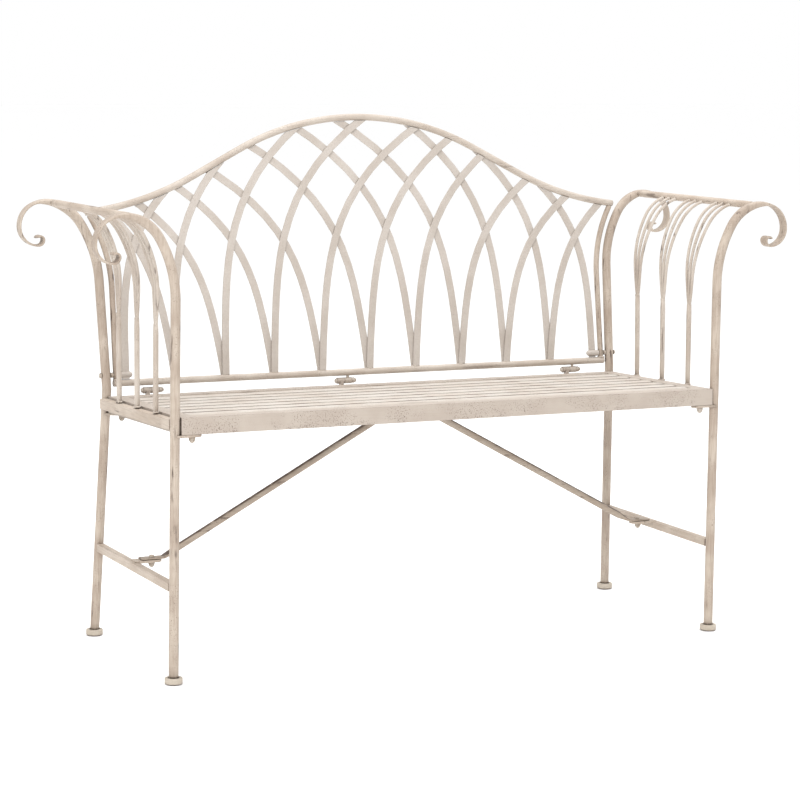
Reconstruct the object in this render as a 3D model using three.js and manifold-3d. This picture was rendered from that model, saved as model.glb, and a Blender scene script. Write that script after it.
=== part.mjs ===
// A scrolled metal garden bench: a slatted seat and a lattice back between two sides made of posts and spindles.
// Millimetres, +X to the viewer's right, +Y to the back, +Z up.

import * as THREE from "three";
import { mergeVertices } from "three/addons/utils/BufferGeometryUtils.js";
import Module from "manifold-3d";

const wasm = await Module();
wasm.setup();

// ---------------------------------------------------------------------------------------------------------------
// Driving dimensions
// ---------------------------------------------------------------------------------------------------------------

const GAP = 0.3; // between pieces that touch

// Overall
const POST_SPACING = 1006; // between the post axes, left to right
const SIDE_DEPTH = 350; // between the post axes at seat height, front to back
const SEAT_HEIGHT = 430; // floor to the top of the seat's front edge
const SEAT_DROP = 12; // how much lower the seat's rear edge is
const BACK_LEAN = THREE.MathUtils.degToRad(8.3);
const REAR_SPLAY = 22; // how far the rear feet stand behind the seat's rear
const REAR_SPREAD = 5; // how far each rear foot stands outside the front posts' plane
const REAR_PINCH = 8.5; // how far inside that plane each rear post passes the seat

// Posts, feet and scrolls
const POST_DIAMETER = 16;
const POST_SIDES = 12;
const ARM_STRAIGHT = 185; // straight post above the seat
const SCROLL_ARCS = [
  { radius: 200, turn: 30 },
  { radius: 74, turn: 60 },
  { radius: 44, turn: 90 },
  { radius: 30, turn: 90 },
  { radius: 10, turn: 90 },
  { radius: 6, turn: 150 },
];
const RIBBON_WIDTH = 20; // the flattened scroll
const RIBBON_THICKNESS = 3.5;
const FLATTEN_FROM = 45; // degrees of bend where the tube starts to flatten
const FLATTEN_TO = 90;
const FOOT_DIAMETER = 29;
const FOOT_HEIGHT = 10;
const FOOT_SOCKET_DEPTH = 6;
const FOOT_SOCKET_CLEARANCE = 0.8;
const FOOT_EDGE = 2; // rounding of the foot's upper edge

// Sides
const ARM_RAIL_DIAMETER = 13;
const ARM_RAIL_BEND = 76; // degrees of post bend at which the arm rail is welded
const SIDE_BAR_WIDTH = 14;
const SIDE_BAR_HEIGHT = 17;
const STRETCHER_SIZE = 13;
const STRETCHER_HEIGHT = 155; // floor to its axis
const SPINDLES = 3; // in each arm
const SPINDLE_DIAMETER = 9;
const SPINDLE_RODS = [-1, 0, 1];
const ROD_DIAMETER = 5.5;
const ROD_FAN = 21; // how far the outer rods land from the middle one
const FORK_HEIGHT = 140; // above the seat
const FORK_OVERLAP = 12; // the rods' length inside the bar
const ROD_SPACING_AT_FORK = 2;
const ROD_FAN_POWER = 0.6; // below 1, the rods part quickly and then run side by side
const SPINDLE_LEAN = 0.3; // the spindles' share of the rear posts' lean

// Seat
const SEAT_FLANGE = 30; // front and rear top flange
const SEAT_SIDE_FLANGE = 26;
const SEAT_WEB = 28; // depth of the angle iron's upright leg
const ANGLE_THICKNESS = 3;
const SLATS = 7;
const SLAT_WIDTH = 30;
const SLAT_THICKNESS = 3.5;
const SLAT_CROWN = 1.2;
const STRAP_POSITIONS = [-250, 0, 250];
const STRAP_WIDTH = 25;
const STRAP_THICKNESS = 3;
const SEAT_PLATE = { width: 18, thickness: 4 }; // the posts' plates under the seat
const SEAT_PLATE_BEYOND_BOLT = 16;
const SEAT_BOLT_INSET = 29; // from the post's axis
const CORNER_LUG = 42; // length of the lugs inside the seat frame

// Braces
const BRACE_DIAMETER = 12;
const BRACE_FLAT = { width: 20, thickness: 3.2, lowLength: 40, highLength: 24 };
const BRACE_TWIST_LENGTH = 24; // from the flat end to the full tube
const BRACE_PLACE = 0.53; // along the stretcher, from the front
const BRACE_TAB = { length: 50, width: 24, thickness: 4, rise: 2 };
const BRACE_BOLT_INSET = 33; // from the post's plane
const HANGER = { length: 66, width: 24, thickness: 4, drop: 16 };
const HANGER_STUD_INSET = 14; // from the middle of the seat
const HANGER_RIB = 4;

// Back, measured in its own leaning plane, upwards from seat height
const BACK_TUBE = 12;
const BACK_SIDE_TUBE = 10;
const BACK_BOTTOM = 9;
const BACK_CROWN = 465;
const CROWN_RADIUS = 500;
const CROWN_SLOPE = 27.5; // steepest slope of the top rail, degrees
const SHOULDER_RADIUS = 560;
const SHOULDER_START = 320; // where the top rail starts to level out, from the middle
const TOP_RAIL_END_CLEARANCE = 3; // between the top rail's square end and the post
const BACK_SIDE_INSET = 26; // from the post's axis to the side rail's axis
const BACK_SIDE_STRAIGHT = 170;
const BACK_SIDE_BEND = 250; // radius of the side rail's flare
const LATTICE_INSET = 17; // from the side rail's axis to the end strips'
const STRIP_WIDTH = 13;
const STRIP_THICKNESS = 3;
// How many bays each strip bends sideways before it meets the top rail, in order from the side it bends away from.
const STRIP_SWEEPS = {
  right: [0.86, 1.0, 1.62, 2.05, 2.23, 1.97, 1.68, 1.66, 1.55, 1.29],
  left: [0.91, 1.26, 1.83, 2.39, 2.27, 2.25, 2.14, 1.78, 1.58, 1.18],
};
const STRIP_TILT = 0.216; // the share of a middle strip's sweep that is a straight lean; the rest is bend
const STRIP_TILT_STEP = 0.036; // how much that share grows from each strip to the next
const STRIP_BEND_POWER = 3.8; // how late a strip bends
const LATTICE_BAYS = STRIP_SWEEPS.right.length;

// Hinges between the back's bottom rail and the seat frame
const HINGE_POSITIONS = [-415, -50, 408];
const HINGE_LENGTH = 28;
const HINGE_DIAMETER = 11;
const HINGE_LUG_WIDTH = 5;
const HINGE_CENTRE_RISE = 6.5; // above the seat's rear edge
const HINGE_SETBACK = 8; // behind the seat frame
const PIN_DIAMETER = 5.4;

// Fasteners
const BOLT_DIAMETER = 6;
const NUT_DIAMETER = 11;
const NUT_COLLAR = 5;
const BOLT_HEAD_HEIGHT = 3;
const HOLE_CLEARANCE = 0.4;
const BACK_BOLT_HEIGHT = 23; // above the seat, in the back's plane
const SLEEVE_LENGTH = 19; // of the end strips' threaded sleeves, without their domes

// Paint
const CREAM = { color: 0xe3d3c3, roughness: 0.62, metalness: 0.1 };
const CREAM_DARK = { color: 0xcdb9a6, roughness: 0.6, metalness: 0.15 };

// ---------------------------------------------------------------------------------------------------------------
// Values worked out from them
// ---------------------------------------------------------------------------------------------------------------

const POST_X = POST_SPACING / 2;
const POST_RADIUS = POST_DIAMETER / 2;
const SEAT_SLOPE = Math.atan2(SEAT_DROP, SIDE_DEPTH);
const SEAT_X = POST_X - POST_RADIUS - GAP; // half the seat frame's width
const SEAT_FRONT = -POST_RADIUS; // the seat frame's faces, from the front post's axis
const SEAT_REAR = SIDE_DEPTH - POST_RADIUS - GAP;
const BOLT_RADIUS = BOLT_DIAMETER / 2;
const HOLE_RADIUS = BOLT_RADIUS + HOLE_CLEARANCE;
const NUT_RADIUS = NUT_DIAMETER / 2;
const BACK_RADIUS = BACK_TUBE / 2;
const BACK_SIDE_X = POST_X - BACK_SIDE_INSET;
const LATTICE_BAY = (2 * (BACK_SIDE_X - LATTICE_INSET)) / LATTICE_BAYS;
const STRIP_BASE = BACK_BOTTOM + BACK_RADIUS + GAP;
const STRETCHER_REAR_Y = SIDE_DEPTH + REAR_SPLAY * (1 - STRETCHER_HEIGHT / SEAT_HEIGHT);
const BRACE_Y = BRACE_PLACE * STRETCHER_REAR_Y;

const radians = THREE.MathUtils.degToRad;

// Places of the tilted planes: the seat, and everything above seat height at the front and at the back.
const seatPlane = new THREE.Matrix4()
  .makeTranslation(0, 0, SEAT_HEIGHT)
  .multiply(new THREE.Matrix4().makeRotationX(-SEAT_SLOPE));
const frontPlane = new THREE.Matrix4().makeTranslation(0, 0, SEAT_HEIGHT);
const backPlane = new THREE.Matrix4()
  .makeTranslation(0, SIDE_DEPTH, SEAT_HEIGHT)
  .multiply(new THREE.Matrix4().makeRotationX(-BACK_LEAN));

// ---------------------------------------------------------------------------------------------------------------
// Solids: joining, cutting and the shapes that repeat
// ---------------------------------------------------------------------------------------------------------------

/** A closed geometry as a manifold-3d solid. */
function solid(geometry) {
  const bare = geometry.clone();
  bare.deleteAttribute("normal");
  bare.deleteAttribute("uv");
  const merged = mergeVertices(bare, 1e-4);
  return new wasm.Manifold(
    new wasm.Mesh({
      numProp: 3,
      vertProperties: new Float32Array(merged.attributes.position.array),
      triVerts: new Uint32Array(merged.index.array),
    }),
  );
}

/** A manifold-3d solid as a geometry. */
function geometryOf(manifold) {
  const mesh = manifold.getMesh();
  const geometry = new THREE.BufferGeometry();
  geometry.setAttribute("position", new THREE.BufferAttribute(new Float32Array(mesh.vertProperties), 3));
  geometry.setIndex(new THREE.BufferAttribute(new Uint32Array(mesh.triVerts), 1));
  geometry.computeVertexNormals();
  return geometry;
}

const join = (...pieces) => geometryOf(pieces.map(solid).reduce((all, piece) => all.add(piece)));
const cut = (body, ...tools) =>
  geometryOf(tools.map(solid).reduce((rest, tool) => rest.subtract(tool), solid(body)));
const keep = (body, ...regions) =>
  geometryOf(regions.map(solid).reduce((rest, region) => rest.intersect(region), solid(body)));

/** A box from its lowest and highest corners. */
function block(low, high) {
  const size = high.map((value, axis) => value - low[axis]);
  const centre = high.map((value, axis) => (value + low[axis]) / 2);
  return new THREE.BoxGeometry(...size).translate(...centre);
}

/** A round bar between two points. */
function bar(start, end, radius, sides = 12) {
  const axis = new THREE.Vector3().subVectors(end, start);
  const geometry = new THREE.CylinderGeometry(radius, radius, axis.length(), sides);
  const turn = new THREE.Quaternion().setFromUnitVectors(new THREE.Vector3(0, 1, 0), axis.clone().normalize());
  const middle = new THREE.Vector3().addVectors(start, end).multiplyScalar(0.5);
  return geometry.applyQuaternion(turn).translate(...middle);
}

/**
 * One ring of a lofted bar: an oval across the tangent, from round (squareness 0) to a rounded rectangle (1).
 * across is the half size along the reference direction, through is the half size at right angles to it.
 */
function ring(centre, tangent, reference, through, across, squareness, sides) {
  const along = reference.clone().addScaledVector(tangent, -reference.dot(tangent)).normalize();
  const normal = new THREE.Vector3().crossVectors(along, tangent);
  const power = 1 - 0.65 * squareness;
  const shaped = (value) => Math.sign(value) * Math.abs(value) ** power;
  return Array.from({ length: sides }, (_, k) => {
    const angle = (2 * Math.PI * k) / sides;
    return centre
      .clone()
      .addScaledVector(normal, through * shaped(Math.cos(angle)))
      .addScaledVector(along, across * shaped(Math.sin(angle)));
  });
}

/** A closed body through rings that all have the same number of points, with flat ends. */
function loft(rings) {
  const sides = rings[0].length;
  const index = [];
  for (let r = 0; r + 1 < rings.length; r++) {
    for (let k = 0; k < sides; k++) {
      const a = r * sides + k;
      const b = r * sides + ((k + 1) % sides);
      index.push(a, b, a + sides, b, b + sides, a + sides);
    }
  }
  const last = (rings.length - 1) * sides;
  for (let k = 1; k + 1 < sides; k++) {
    index.push(0, k + 1, k, last, last + k, last + k + 1);
  }
  const geometry = new THREE.BufferGeometry().setFromPoints(rings.flat());
  geometry.setIndex(index);
  return geometry;
}

/** A round tube of one size through a list of points, turned flat to the first and last stretch at its ends. */
function roundTube(points, radius, sides) {
  const reference = new THREE.Vector3(0, 1, 0);
  const rings = points.map((point, i) => {
    const before = points[Math.max(i - 1, 0)];
    const after = points[Math.min(i + 1, points.length - 1)];
    const tangent = new THREE.Vector3().subVectors(after, before).normalize();
    return ring(point, tangent, reference, radius, radius, 0, sides);
  });
  return loft(rings);
}

/** A flat plate with rounded free end, lying level: from x = 0 to x = length, top at z = 0. */
function tabPlate({ length, width, thickness }) {
  const half = width / 2;
  const outline = new THREE.Shape();
  outline.moveTo(0, -half);
  outline.lineTo(length - half, -half);
  outline.absarc(length - half, 0, half, -Math.PI / 2, Math.PI / 2, false);
  outline.lineTo(0, half);
  const geometry = new THREE.ExtrudeGeometry(outline, { depth: thickness, bevelEnabled: false, curveSegments: 6 });
  return geometry.translate(0, 0, -thickness);
}

/** The same geometry on the right (+1) or mirrored to the left (-1) end of the bench. */
function onSide(geometry, side) {
  if (side > 0) return geometry;
  const mirrored = geometry.clone().applyMatrix4(new THREE.Matrix4().makeScale(-1, 1, 1));
  const turned = mirrored.index ? mirrored : mergeVertices(mirrored);
  turned.setIndex(Array.from(turned.index.array).reverse());
  return turned;
}

// ---------------------------------------------------------------------------------------------------------------
// Fasteners
// ---------------------------------------------------------------------------------------------------------------

/** A body turned about Z, from [radius, z] pairs that start and end on the axis. */
function turned(pairs, sides = 12) {
  const profile = pairs.map(([radius, z]) => new THREE.Vector2(radius, z));
  return new THREE.LatheGeometry(profile, sides).rotateX(Math.PI / 2);
}

/** The [radius, z] pairs of a dome below z = 0, from its tip to its rim. */
function domeProfile(radius) {
  const quarter = new THREE.EllipseCurve(0, 0, radius, radius, -Math.PI / 2, 0);
  return quarter.getPoints(4).map(({ x, y }) => [x, y]);
}

/** The [radius, z] pairs of a bolt's shallow head, from its underside at the given z to its middle. */
const headProfile = (z) => [
  [NUT_RADIUS * 0.9, z],
  [NUT_RADIUS * 0.7, z + BOLT_HEAD_HEIGHT],
  [0, z + BOLT_HEAD_HEIGHT],
];

/** A bolt along +Z: its domed nut ends at z = 0 with the dome below, and its head starts at z = grip. */
function domedBolt(grip) {
  const dome = domeProfile(NUT_RADIUS * 0.86).map(([radius, z]) => [radius, z - NUT_COLLAR]);
  return turned([
    ...dome,
    [NUT_RADIUS, -NUT_COLLAR],
    [NUT_RADIUS, 0],
    [BOLT_RADIUS, 0],
    [BOLT_RADIUS, grip],
    ...headProfile(grip),
  ]);
}

// ---------------------------------------------------------------------------------------------------------------
// Sides: posts with scrolls, feet, arm rails, side bars, stretchers and spindles
// ---------------------------------------------------------------------------------------------------------------

/** The scroll's outline above the seat: u outwards, w upwards, as a straight and a chain of arcs. */
function scrollPath() {
  const path = new THREE.Path();
  path.moveTo(0, 0);
  path.lineTo(0, ARM_STRAIGHT);
  let heading = 0; // degrees of bend away from straight up
  let end = new THREE.Vector2(0, ARM_STRAIGHT);
  for (const { radius, turn } of SCROLL_ARCS) {
    const from = Math.PI - radians(heading);
    const to = from - radians(turn);
    const centre = new THREE.Vector2(end.x - radius * Math.cos(from), end.y - radius * Math.sin(from));
    path.absarc(centre.x, centre.y, radius, from, to, true);
    end = new THREE.Vector2(centre.x + radius * Math.cos(to), centre.y + radius * Math.sin(to));
    heading += turn;
  }
  return path;
}

/** Stations along the scroll: place, bend in degrees, from the seat to the tip. */
function scrollStations(degreesPerStation) {
  const stations = [{ u: 0, w: ARM_STRAIGHT, bend: 0 }];
  const arcs = scrollPath().curves.filter((curve) => curve.isEllipseCurve);
  let heading = 0;
  arcs.forEach((arc, i) => {
    const { turn } = SCROLL_ARCS[i];
    const steps = Math.ceil(turn / degreesPerStation);
    for (let k = 1; k <= steps; k++) {
      const { x: u, y: w } = arc.getPoint(k / steps);
      stations.push({ u, w, bend: heading + (turn * k) / steps });
    }
    heading += turn;
  });
  return stations;
}

/** The place on the scroll at which the post has bent by the given angle. */
function scrollAt(bend) {
  let heading = 0;
  const arcs = scrollPath().curves.filter((curve) => curve.isEllipseCurve);
  const i = SCROLL_ARCS.findIndex(({ turn }) => {
    if (bend <= heading + turn) return true;
    heading += turn;
    return false;
  });
  return arcs[i].getPoint((bend - heading) / SCROLL_ARCS[i].turn);
}

/** How far the tube is flattened at a bend: 0 is round and 1 is the full ribbon. */
const flattening = (bend) => THREE.MathUtils.smoothstep(bend, FLATTEN_FROM, FLATTEN_TO);
const ribbonHalfWidth = (bend) => THREE.MathUtils.lerp(POST_RADIUS, RIBBON_WIDTH / 2, flattening(bend));

/** Where a point of the side's outline, u outwards and w above the seat, stands at the front or at the back. */
const upper = (u, w, rear) => new THREE.Vector3(POST_X + u, 0, w).applyMatrix4(rear ? backPlane : frontPlane);

/** How far inwards a rear post stands at a height above the seat: most at the seat, nothing at the scroll's top. */
function rearPinch(w) {
  const scrollTop = Math.max(...scrollStations(15).map((station) => station.w));
  return REAR_PINCH * Math.max(0, 1 - w / scrollTop);
}

/** Where a point of a right-hand post's outline stands. */
const onPost = (u, w, rear) => upper(rear ? u - rearPinch(w) : u, w, rear);

/** The place of a right-hand post's axis at floor level. */
const footPlace = (rear) =>
  rear ? new THREE.Vector3(POST_X + REAR_SPREAD, SIDE_DEPTH + REAR_SPLAY, 0) : new THREE.Vector3(POST_X, 0, 0);

/** A right-hand post: the leg, the bend at the seat, the tube above it, and the flattened scroll. */
function postTube(rear) {
  const base = FOOT_HEIGHT - FOOT_SOCKET_DEPTH + GAP;
  const up = new THREE.Vector3(0, 0, 1);
  const across = new THREE.Vector3(0, 1, 0);
  const foot = footPlace(rear).lerp(onPost(0, 0, rear), base / SEAT_HEIGHT);
  const rings = [ring(foot, up, across, POST_RADIUS, POST_RADIUS, 0, POST_SIDES)];
  rings.push(ring(onPost(0, 0, rear), up, across, POST_RADIUS, POST_RADIUS, 0, POST_SIDES));
  const plane = rear ? backPlane : frontPlane;
  for (const { u, w, bend } of scrollStations(15)) {
    const flat = flattening(bend);
    const tangent = new THREE.Vector3(Math.sin(radians(bend)), 0, Math.cos(radians(bend))).transformDirection(plane);
    const through = THREE.MathUtils.lerp(POST_RADIUS, RIBBON_THICKNESS / 2, flat);
    rings.push(ring(onPost(u, w, rear), tangent, across, through, ribbonHalfWidth(bend), flat, POST_SIDES));
  }
  return loft(rings);
}

/** The bolt's place at a seat corner, in the seat's plane. */
const seatBoltY = (rear) => (rear ? SEAT_REAR - SEAT_PLATE.width / 2 : SEAT_FRONT + SEAT_PLATE.width / 2);

/** The plate under the seat that a right-hand post carries, from the post's axis to beyond the bolt. */
function seatPlate(rear) {
  const postX = rear ? POST_X - REAR_PINCH : POST_X;
  const postY = rear ? SIDE_DEPTH : 0;
  const toBolt = new THREE.Vector2(POST_X - SEAT_BOLT_INSET - postX, seatBoltY(rear) - postY);
  const plate = tabPlate({ ...SEAT_PLATE, length: toBolt.length() + SEAT_PLATE_BEYOND_BOLT });
  plate.rotateZ(toBolt.angle()).translate(postX, postY, -SEAT_WEB - GAP);
  return plate.applyMatrix4(seatPlane);
}

/** A hole for a bolt across the plates at a seat corner. */
function seatBoltHole(rear) {
  const x = POST_X - SEAT_BOLT_INSET;
  const y = seatBoltY(rear);
  const deep = SEAT_WEB + 4 * SEAT_PLATE.thickness;
  const hole = bar(new THREE.Vector3(x, y, -deep), new THREE.Vector3(x, y, -SEAT_WEB / 2), HOLE_RADIUS);
  return hole.applyMatrix4(seatPlane);
}

/** A hole for the back's bolt, from inside the back's side rail to beyond the post. */
function backBoltHole() {
  const start = new THREE.Vector3(POST_X - 2 * BACK_SIDE_INSET, 0, BACK_BOLT_HEIGHT);
  const end = new THREE.Vector3(POST_X + 2 * POST_DIAMETER, 0, BACK_BOLT_HEIGHT);
  return bar(start, end, HOLE_RADIUS).applyMatrix4(backPlane);
}

function post(rear) {
  const joined = join(postTube(rear), seatPlate(rear));
  const holes = rear ? [seatBoltHole(rear), backBoltHole()] : [seatBoltHole(rear)];
  return cut(joined, ...holes);
}

function footCap() {
  const outer = FOOT_DIAMETER / 2;
  const socket = POST_RADIUS + FOOT_SOCKET_CLEARANCE;
  const floor = FOOT_HEIGHT - FOOT_SOCKET_DEPTH;
  const edge = new THREE.EllipseCurve(outer - FOOT_EDGE, FOOT_HEIGHT - FOOT_EDGE, FOOT_EDGE, FOOT_EDGE, 0, Math.PI / 2);
  const profile = [new THREE.Vector2(0, 0), new THREE.Vector2(outer - 1, 0), new THREE.Vector2(outer, 1)];
  profile.push(...edge.getPoints(3), new THREE.Vector2(socket, FOOT_HEIGHT));
  profile.push(new THREE.Vector2(socket, floor), new THREE.Vector2(0, floor));
  return new THREE.LatheGeometry(profile, 20).rotateX(Math.PI / 2);
}

/** The right-hand arm rail, between the flattened edges of the two posts. */
function armRail() {
  const { x: u, y: w } = scrollAt(ARM_RAIL_BEND);
  const front = onPost(u, w, false);
  const rear = onPost(u, w, true);
  const along = new THREE.Vector3().subVectors(rear, front).normalize();
  const inset = ribbonHalfWidth(ARM_RAIL_BEND) + GAP;
  front.addScaledVector(along, inset);
  rear.addScaledVector(along, -inset / Math.cos(BACK_LEAN) - ARM_RAIL_DIAMETER * Math.tan(BACK_LEAN) * 0.5);
  return bar(front, rear, ARM_RAIL_DIAMETER / 2);
}

/** The right-hand bar at seat height, between the posts. */
function sideBar() {
  const half = SIDE_BAR_WIDTH / 2;
  const bottom = -SIDE_BAR_HEIGHT - SLAT_THICKNESS;
  const start = POST_RADIUS + GAP - bottom * Math.tan(SEAT_SLOPE);
  const end = SIDE_DEPTH - POST_RADIUS - GAP;
  const box = block([POST_X - half, start, bottom], [POST_X + half, end, -SLAT_THICKNESS]);
  return box.applyMatrix4(seatPlane);
}

/** The right-hand stretcher near the floor, with the inward plate that the brace is bolted to. */
function stretcher() {
  const half = STRETCHER_SIZE / 2;
  const lean = (REAR_SPLAY / SEAT_HEIGHT) * half;
  const end = STRETCHER_REAR_Y - POST_RADIUS - GAP - lean;
  const low = STRETCHER_HEIGHT - half;
  const beam = block([POST_X - half, POST_RADIUS + GAP, low], [POST_X + half, end, STRETCHER_HEIGHT + half]);
  const tab = tabPlate(BRACE_TAB).rotateZ(Math.PI).translate(POST_X, BRACE_Y, tabTop());
  const boltX = POST_X - BRACE_BOLT_INSET;
  const below = new THREE.Vector3(boltX, BRACE_Y, low);
  const above = new THREE.Vector3(boltX, BRACE_Y, STRETCHER_HEIGHT + STRETCHER_SIZE);
  return cut(join(beam, tab), bar(below, above, HOLE_RADIUS));
}

/** The height of the upper face of the stretcher's plate. */
const tabTop = () => STRETCHER_HEIGHT + STRETCHER_SIZE / 2 + BRACE_TAB.rise;

/** Where a spindle stands front to back, from 0 at the front posts to 1 at the rear posts. */
const spindleShare = (index) => (index + 1) / (SPINDLES + 1);

/** A point of a spindle: u outwards and w above the seat, above its foot's share of the way to the rear. */
function aboveFoot(u, w, share) {
  const point = upper(u, w, false).lerp(upper(u, w, true), share);
  point.y = THREE.MathUtils.lerp(share * SIDE_DEPTH, point.y, SPINDLE_LEAN);
  return point;
}

/** One rod of a spindle, from inside the bar to the arm rail, which it meets end on. */
function spindleRod(share, fan) {
  const rail = scrollAt(ARM_RAIL_BEND);
  const reach = ARM_RAIL_DIAMETER / 2 + 2 * GAP;
  const curve = scrollStations(10)
    .map(({ u, w }) => new THREE.Vector2(u, w))
    .filter((point, i, all) => i === 0 || (point.y > all[i - 1].y && point.distanceTo(rail) > reach + ROD_DIAMETER))
    .filter((point) => point.x < rail.x);
  const last = curve[curve.length - 1];
  const landing = rail.clone().addScaledVector(last.clone().sub(rail).normalize(), reach);
  const outline = [new THREE.Vector2(0, FORK_HEIGHT - FORK_OVERLAP), new THREE.Vector2(0, FORK_HEIGHT), ...curve];
  outline.push(landing);
  const top = landing.y - FORK_HEIGHT;
  const points = outline.map(({ x: u, y: w }) => {
    const rise = THREE.MathUtils.clamp((w - FORK_HEIGHT) / top, 0, 1);
    const offset = fan * THREE.MathUtils.lerp(ROD_SPACING_AT_FORK, ROD_FAN, rise ** ROD_FAN_POWER);
    return aboveFoot(u, w, share).add(new THREE.Vector3(0, offset, 0));
  });
  return roundTube(points, ROD_DIAMETER / 2, 8);
}

/** A right-hand spindle: the bar on the side bar, and the three rods that fan out of it. */
function spindle(index) {
  const share = spindleShare(index);
  const seatY = share * SIDE_DEPTH;
  const foot = new THREE.Vector3(POST_X, seatY, -SLAT_THICKNESS + GAP).applyMatrix4(seatPlane);
  const slopeLift = (SPINDLE_DIAMETER / 2) * Math.tan(SEAT_SLOPE);
  foot.z += slopeLift;
  const head = aboveFoot(0, FORK_HEIGHT, share);
  const up = new THREE.Vector3(0, 0, 1);
  const across = new THREE.Vector3(0, 1, 0);
  const radius = SPINDLE_DIAMETER / 2;
  const shaft = loft([foot, head].map((point) => ring(point, up, across, radius, radius, 0, 10)));
  return join(shaft, ...SPINDLE_RODS.map((fan) => spindleRod(share, fan)));
}

// ---------------------------------------------------------------------------------------------------------------
// Seat: the angle-iron frame, the slat panel, and the bolts that hold them to the posts
// ---------------------------------------------------------------------------------------------------------------

/** The frame's top: a flat ring as wide as the angle iron's flanges. */
function seatFlanges() {
  const outline = new THREE.Shape();
  outline.moveTo(-SEAT_X, SEAT_FRONT);
  outline.lineTo(SEAT_X, SEAT_FRONT);
  outline.lineTo(SEAT_X, SEAT_REAR);
  outline.lineTo(-SEAT_X, SEAT_REAR);
  const innerX = SEAT_X - SEAT_SIDE_FLANGE;
  const opening = new THREE.Path();
  opening.moveTo(-innerX, SEAT_FRONT + SEAT_FLANGE);
  opening.lineTo(-innerX, SEAT_REAR - SEAT_FLANGE);
  opening.lineTo(innerX, SEAT_REAR - SEAT_FLANGE);
  opening.lineTo(innerX, SEAT_FRONT + SEAT_FLANGE);
  outline.holes.push(opening);
  const plate = new THREE.ExtrudeGeometry(outline, { depth: ANGLE_THICKNESS, bevelEnabled: false });
  return plate.translate(0, 0, -ANGLE_THICKNESS);
}

/** The four upright legs of the angle iron. */
function seatWebs() {
  const t = ANGLE_THICKNESS;
  const top = -t / 2;
  return [
    block([-SEAT_X, SEAT_FRONT, -SEAT_WEB], [SEAT_X, SEAT_FRONT + t, top]),
    block([-SEAT_X, SEAT_REAR - t, -SEAT_WEB], [SEAT_X, SEAT_REAR, top]),
    block([-SEAT_X, SEAT_FRONT, -SEAT_WEB], [-SEAT_X + t, SEAT_REAR, top]),
    block([SEAT_X - t, SEAT_FRONT, -SEAT_WEB], [SEAT_X, SEAT_REAR, top]),
  ];
}

/** A lug inside a right-hand corner, level with the bottom of the angle iron. */
function cornerLug(rear) {
  const y = seatBoltY(rear);
  const half = SEAT_PLATE.width / 2;
  return block([SEAT_X - CORNER_LUG, y - half, -SEAT_WEB], [SEAT_X, y + half, -SEAT_WEB + ANGLE_THICKNESS]);
}

/** The hinge's axis, in the seat's plane. */
const HINGE_Y = SEAT_REAR + HINGE_SETBACK;
const HINGE_Z = HINGE_CENTRE_RISE;

/** Half of a hinge's barrel with its lug, in the seat's plane, from one x to another. */
function hingeHalf(from, to, lugEnd) {
  const start = new THREE.Vector3(from, HINGE_Y, HINGE_Z);
  const barrel = bar(start, new THREE.Vector3(to, HINGE_Y, HINGE_Z), HINGE_DIAMETER / 2);
  const middle = (from + to) / 2;
  const half = HINGE_LUG_WIDTH / 2;
  const low = [middle - half, Math.min(HINGE_Y - 1, lugEnd.y), Math.min(HINGE_Z, lugEnd.z)];
  const high = [middle + half, Math.max(HINGE_Y + 1, lugEnd.y), Math.max(HINGE_Z, lugEnd.z)];
  return join(barrel, block(low, high));
}

/** The hole for a hinge's pin. */
function hingeBore(x) {
  const reach = HINGE_LENGTH;
  const radius = PIN_DIAMETER / 2 + GAP;
  return bar(new THREE.Vector3(x - reach, HINGE_Y, HINGE_Z), new THREE.Vector3(x + reach, HINGE_Y, HINGE_Z), radius);
}

/** The lower half of a hinge, which is welded to the seat frame's rear leg. */
function lowerHinge(x) {
  const half = hingeHalf(x - HINGE_LENGTH / 2, x - GAP / 2, { y: SEAT_REAR - 1, z: -SEAT_WEB / 2 });
  return cut(half, hingeBore(x));
}

function seatFrame() {
  const corners = [-1, 1].flatMap((side) => [false, true].map((rear) => onSide(cornerLug(rear), side)));
  const frame = join(seatFlanges(), ...seatWebs(), ...corners, ...HINGE_POSITIONS.map(lowerHinge));
  const holes = [-1, 1].flatMap((side) => [false, true].map((rear) => onSide(seatBoltHole(rear), side)));
  return cut(frame.applyMatrix4(seatPlane), ...holes);
}

/** One slat with a slightly crowned top, along X, with its middle at a given y. */
function slat(y) {
  const length = 2 * (SEAT_X - SEAT_SIDE_FLANGE - GAP);
  const half = SLAT_WIDTH / 2;
  const shoulder = -SLAT_CROWN;
  const outline = new THREE.Shape();
  outline.moveTo(-half, -SLAT_THICKNESS);
  outline.lineTo(half, -SLAT_THICKNESS);
  outline.lineTo(half, shoulder);
  outline.quadraticCurveTo(0, SLAT_CROWN, -half, shoulder);
  const geometry = new THREE.ExtrudeGeometry(outline, { depth: length, bevelEnabled: false, curveSegments: 6 });
  geometry.translate(0, 0, -length / 2);
  geometry.rotateX(Math.PI / 2).rotateZ(Math.PI / 2);
  return geometry.translate(0, y, 0);
}

/** The middle of each slat, evenly spaced between the front and rear flanges. */
function slatPositions() {
  const front = SEAT_FRONT + SEAT_FLANGE;
  const free = SEAT_REAR - SEAT_FLANGE - front - SLATS * SLAT_WIDTH;
  const space = free / (SLATS + 1);
  return Array.from({ length: SLATS }, (_, k) => front + space * (k + 1) + SLAT_WIDTH * (k + 0.5));
}

/** A strap under the slats, from inside the front leg to inside the rear one. */
function strap(x) {
  const top = -ANGLE_THICKNESS - GAP;
  const half = STRAP_WIDTH / 2;
  const low = [x - half, SEAT_FRONT + ANGLE_THICKNESS + GAP, top - STRAP_THICKNESS];
  return block(low, [x + half, SEAT_REAR - ANGLE_THICKNESS - GAP, top]);
}

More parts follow.
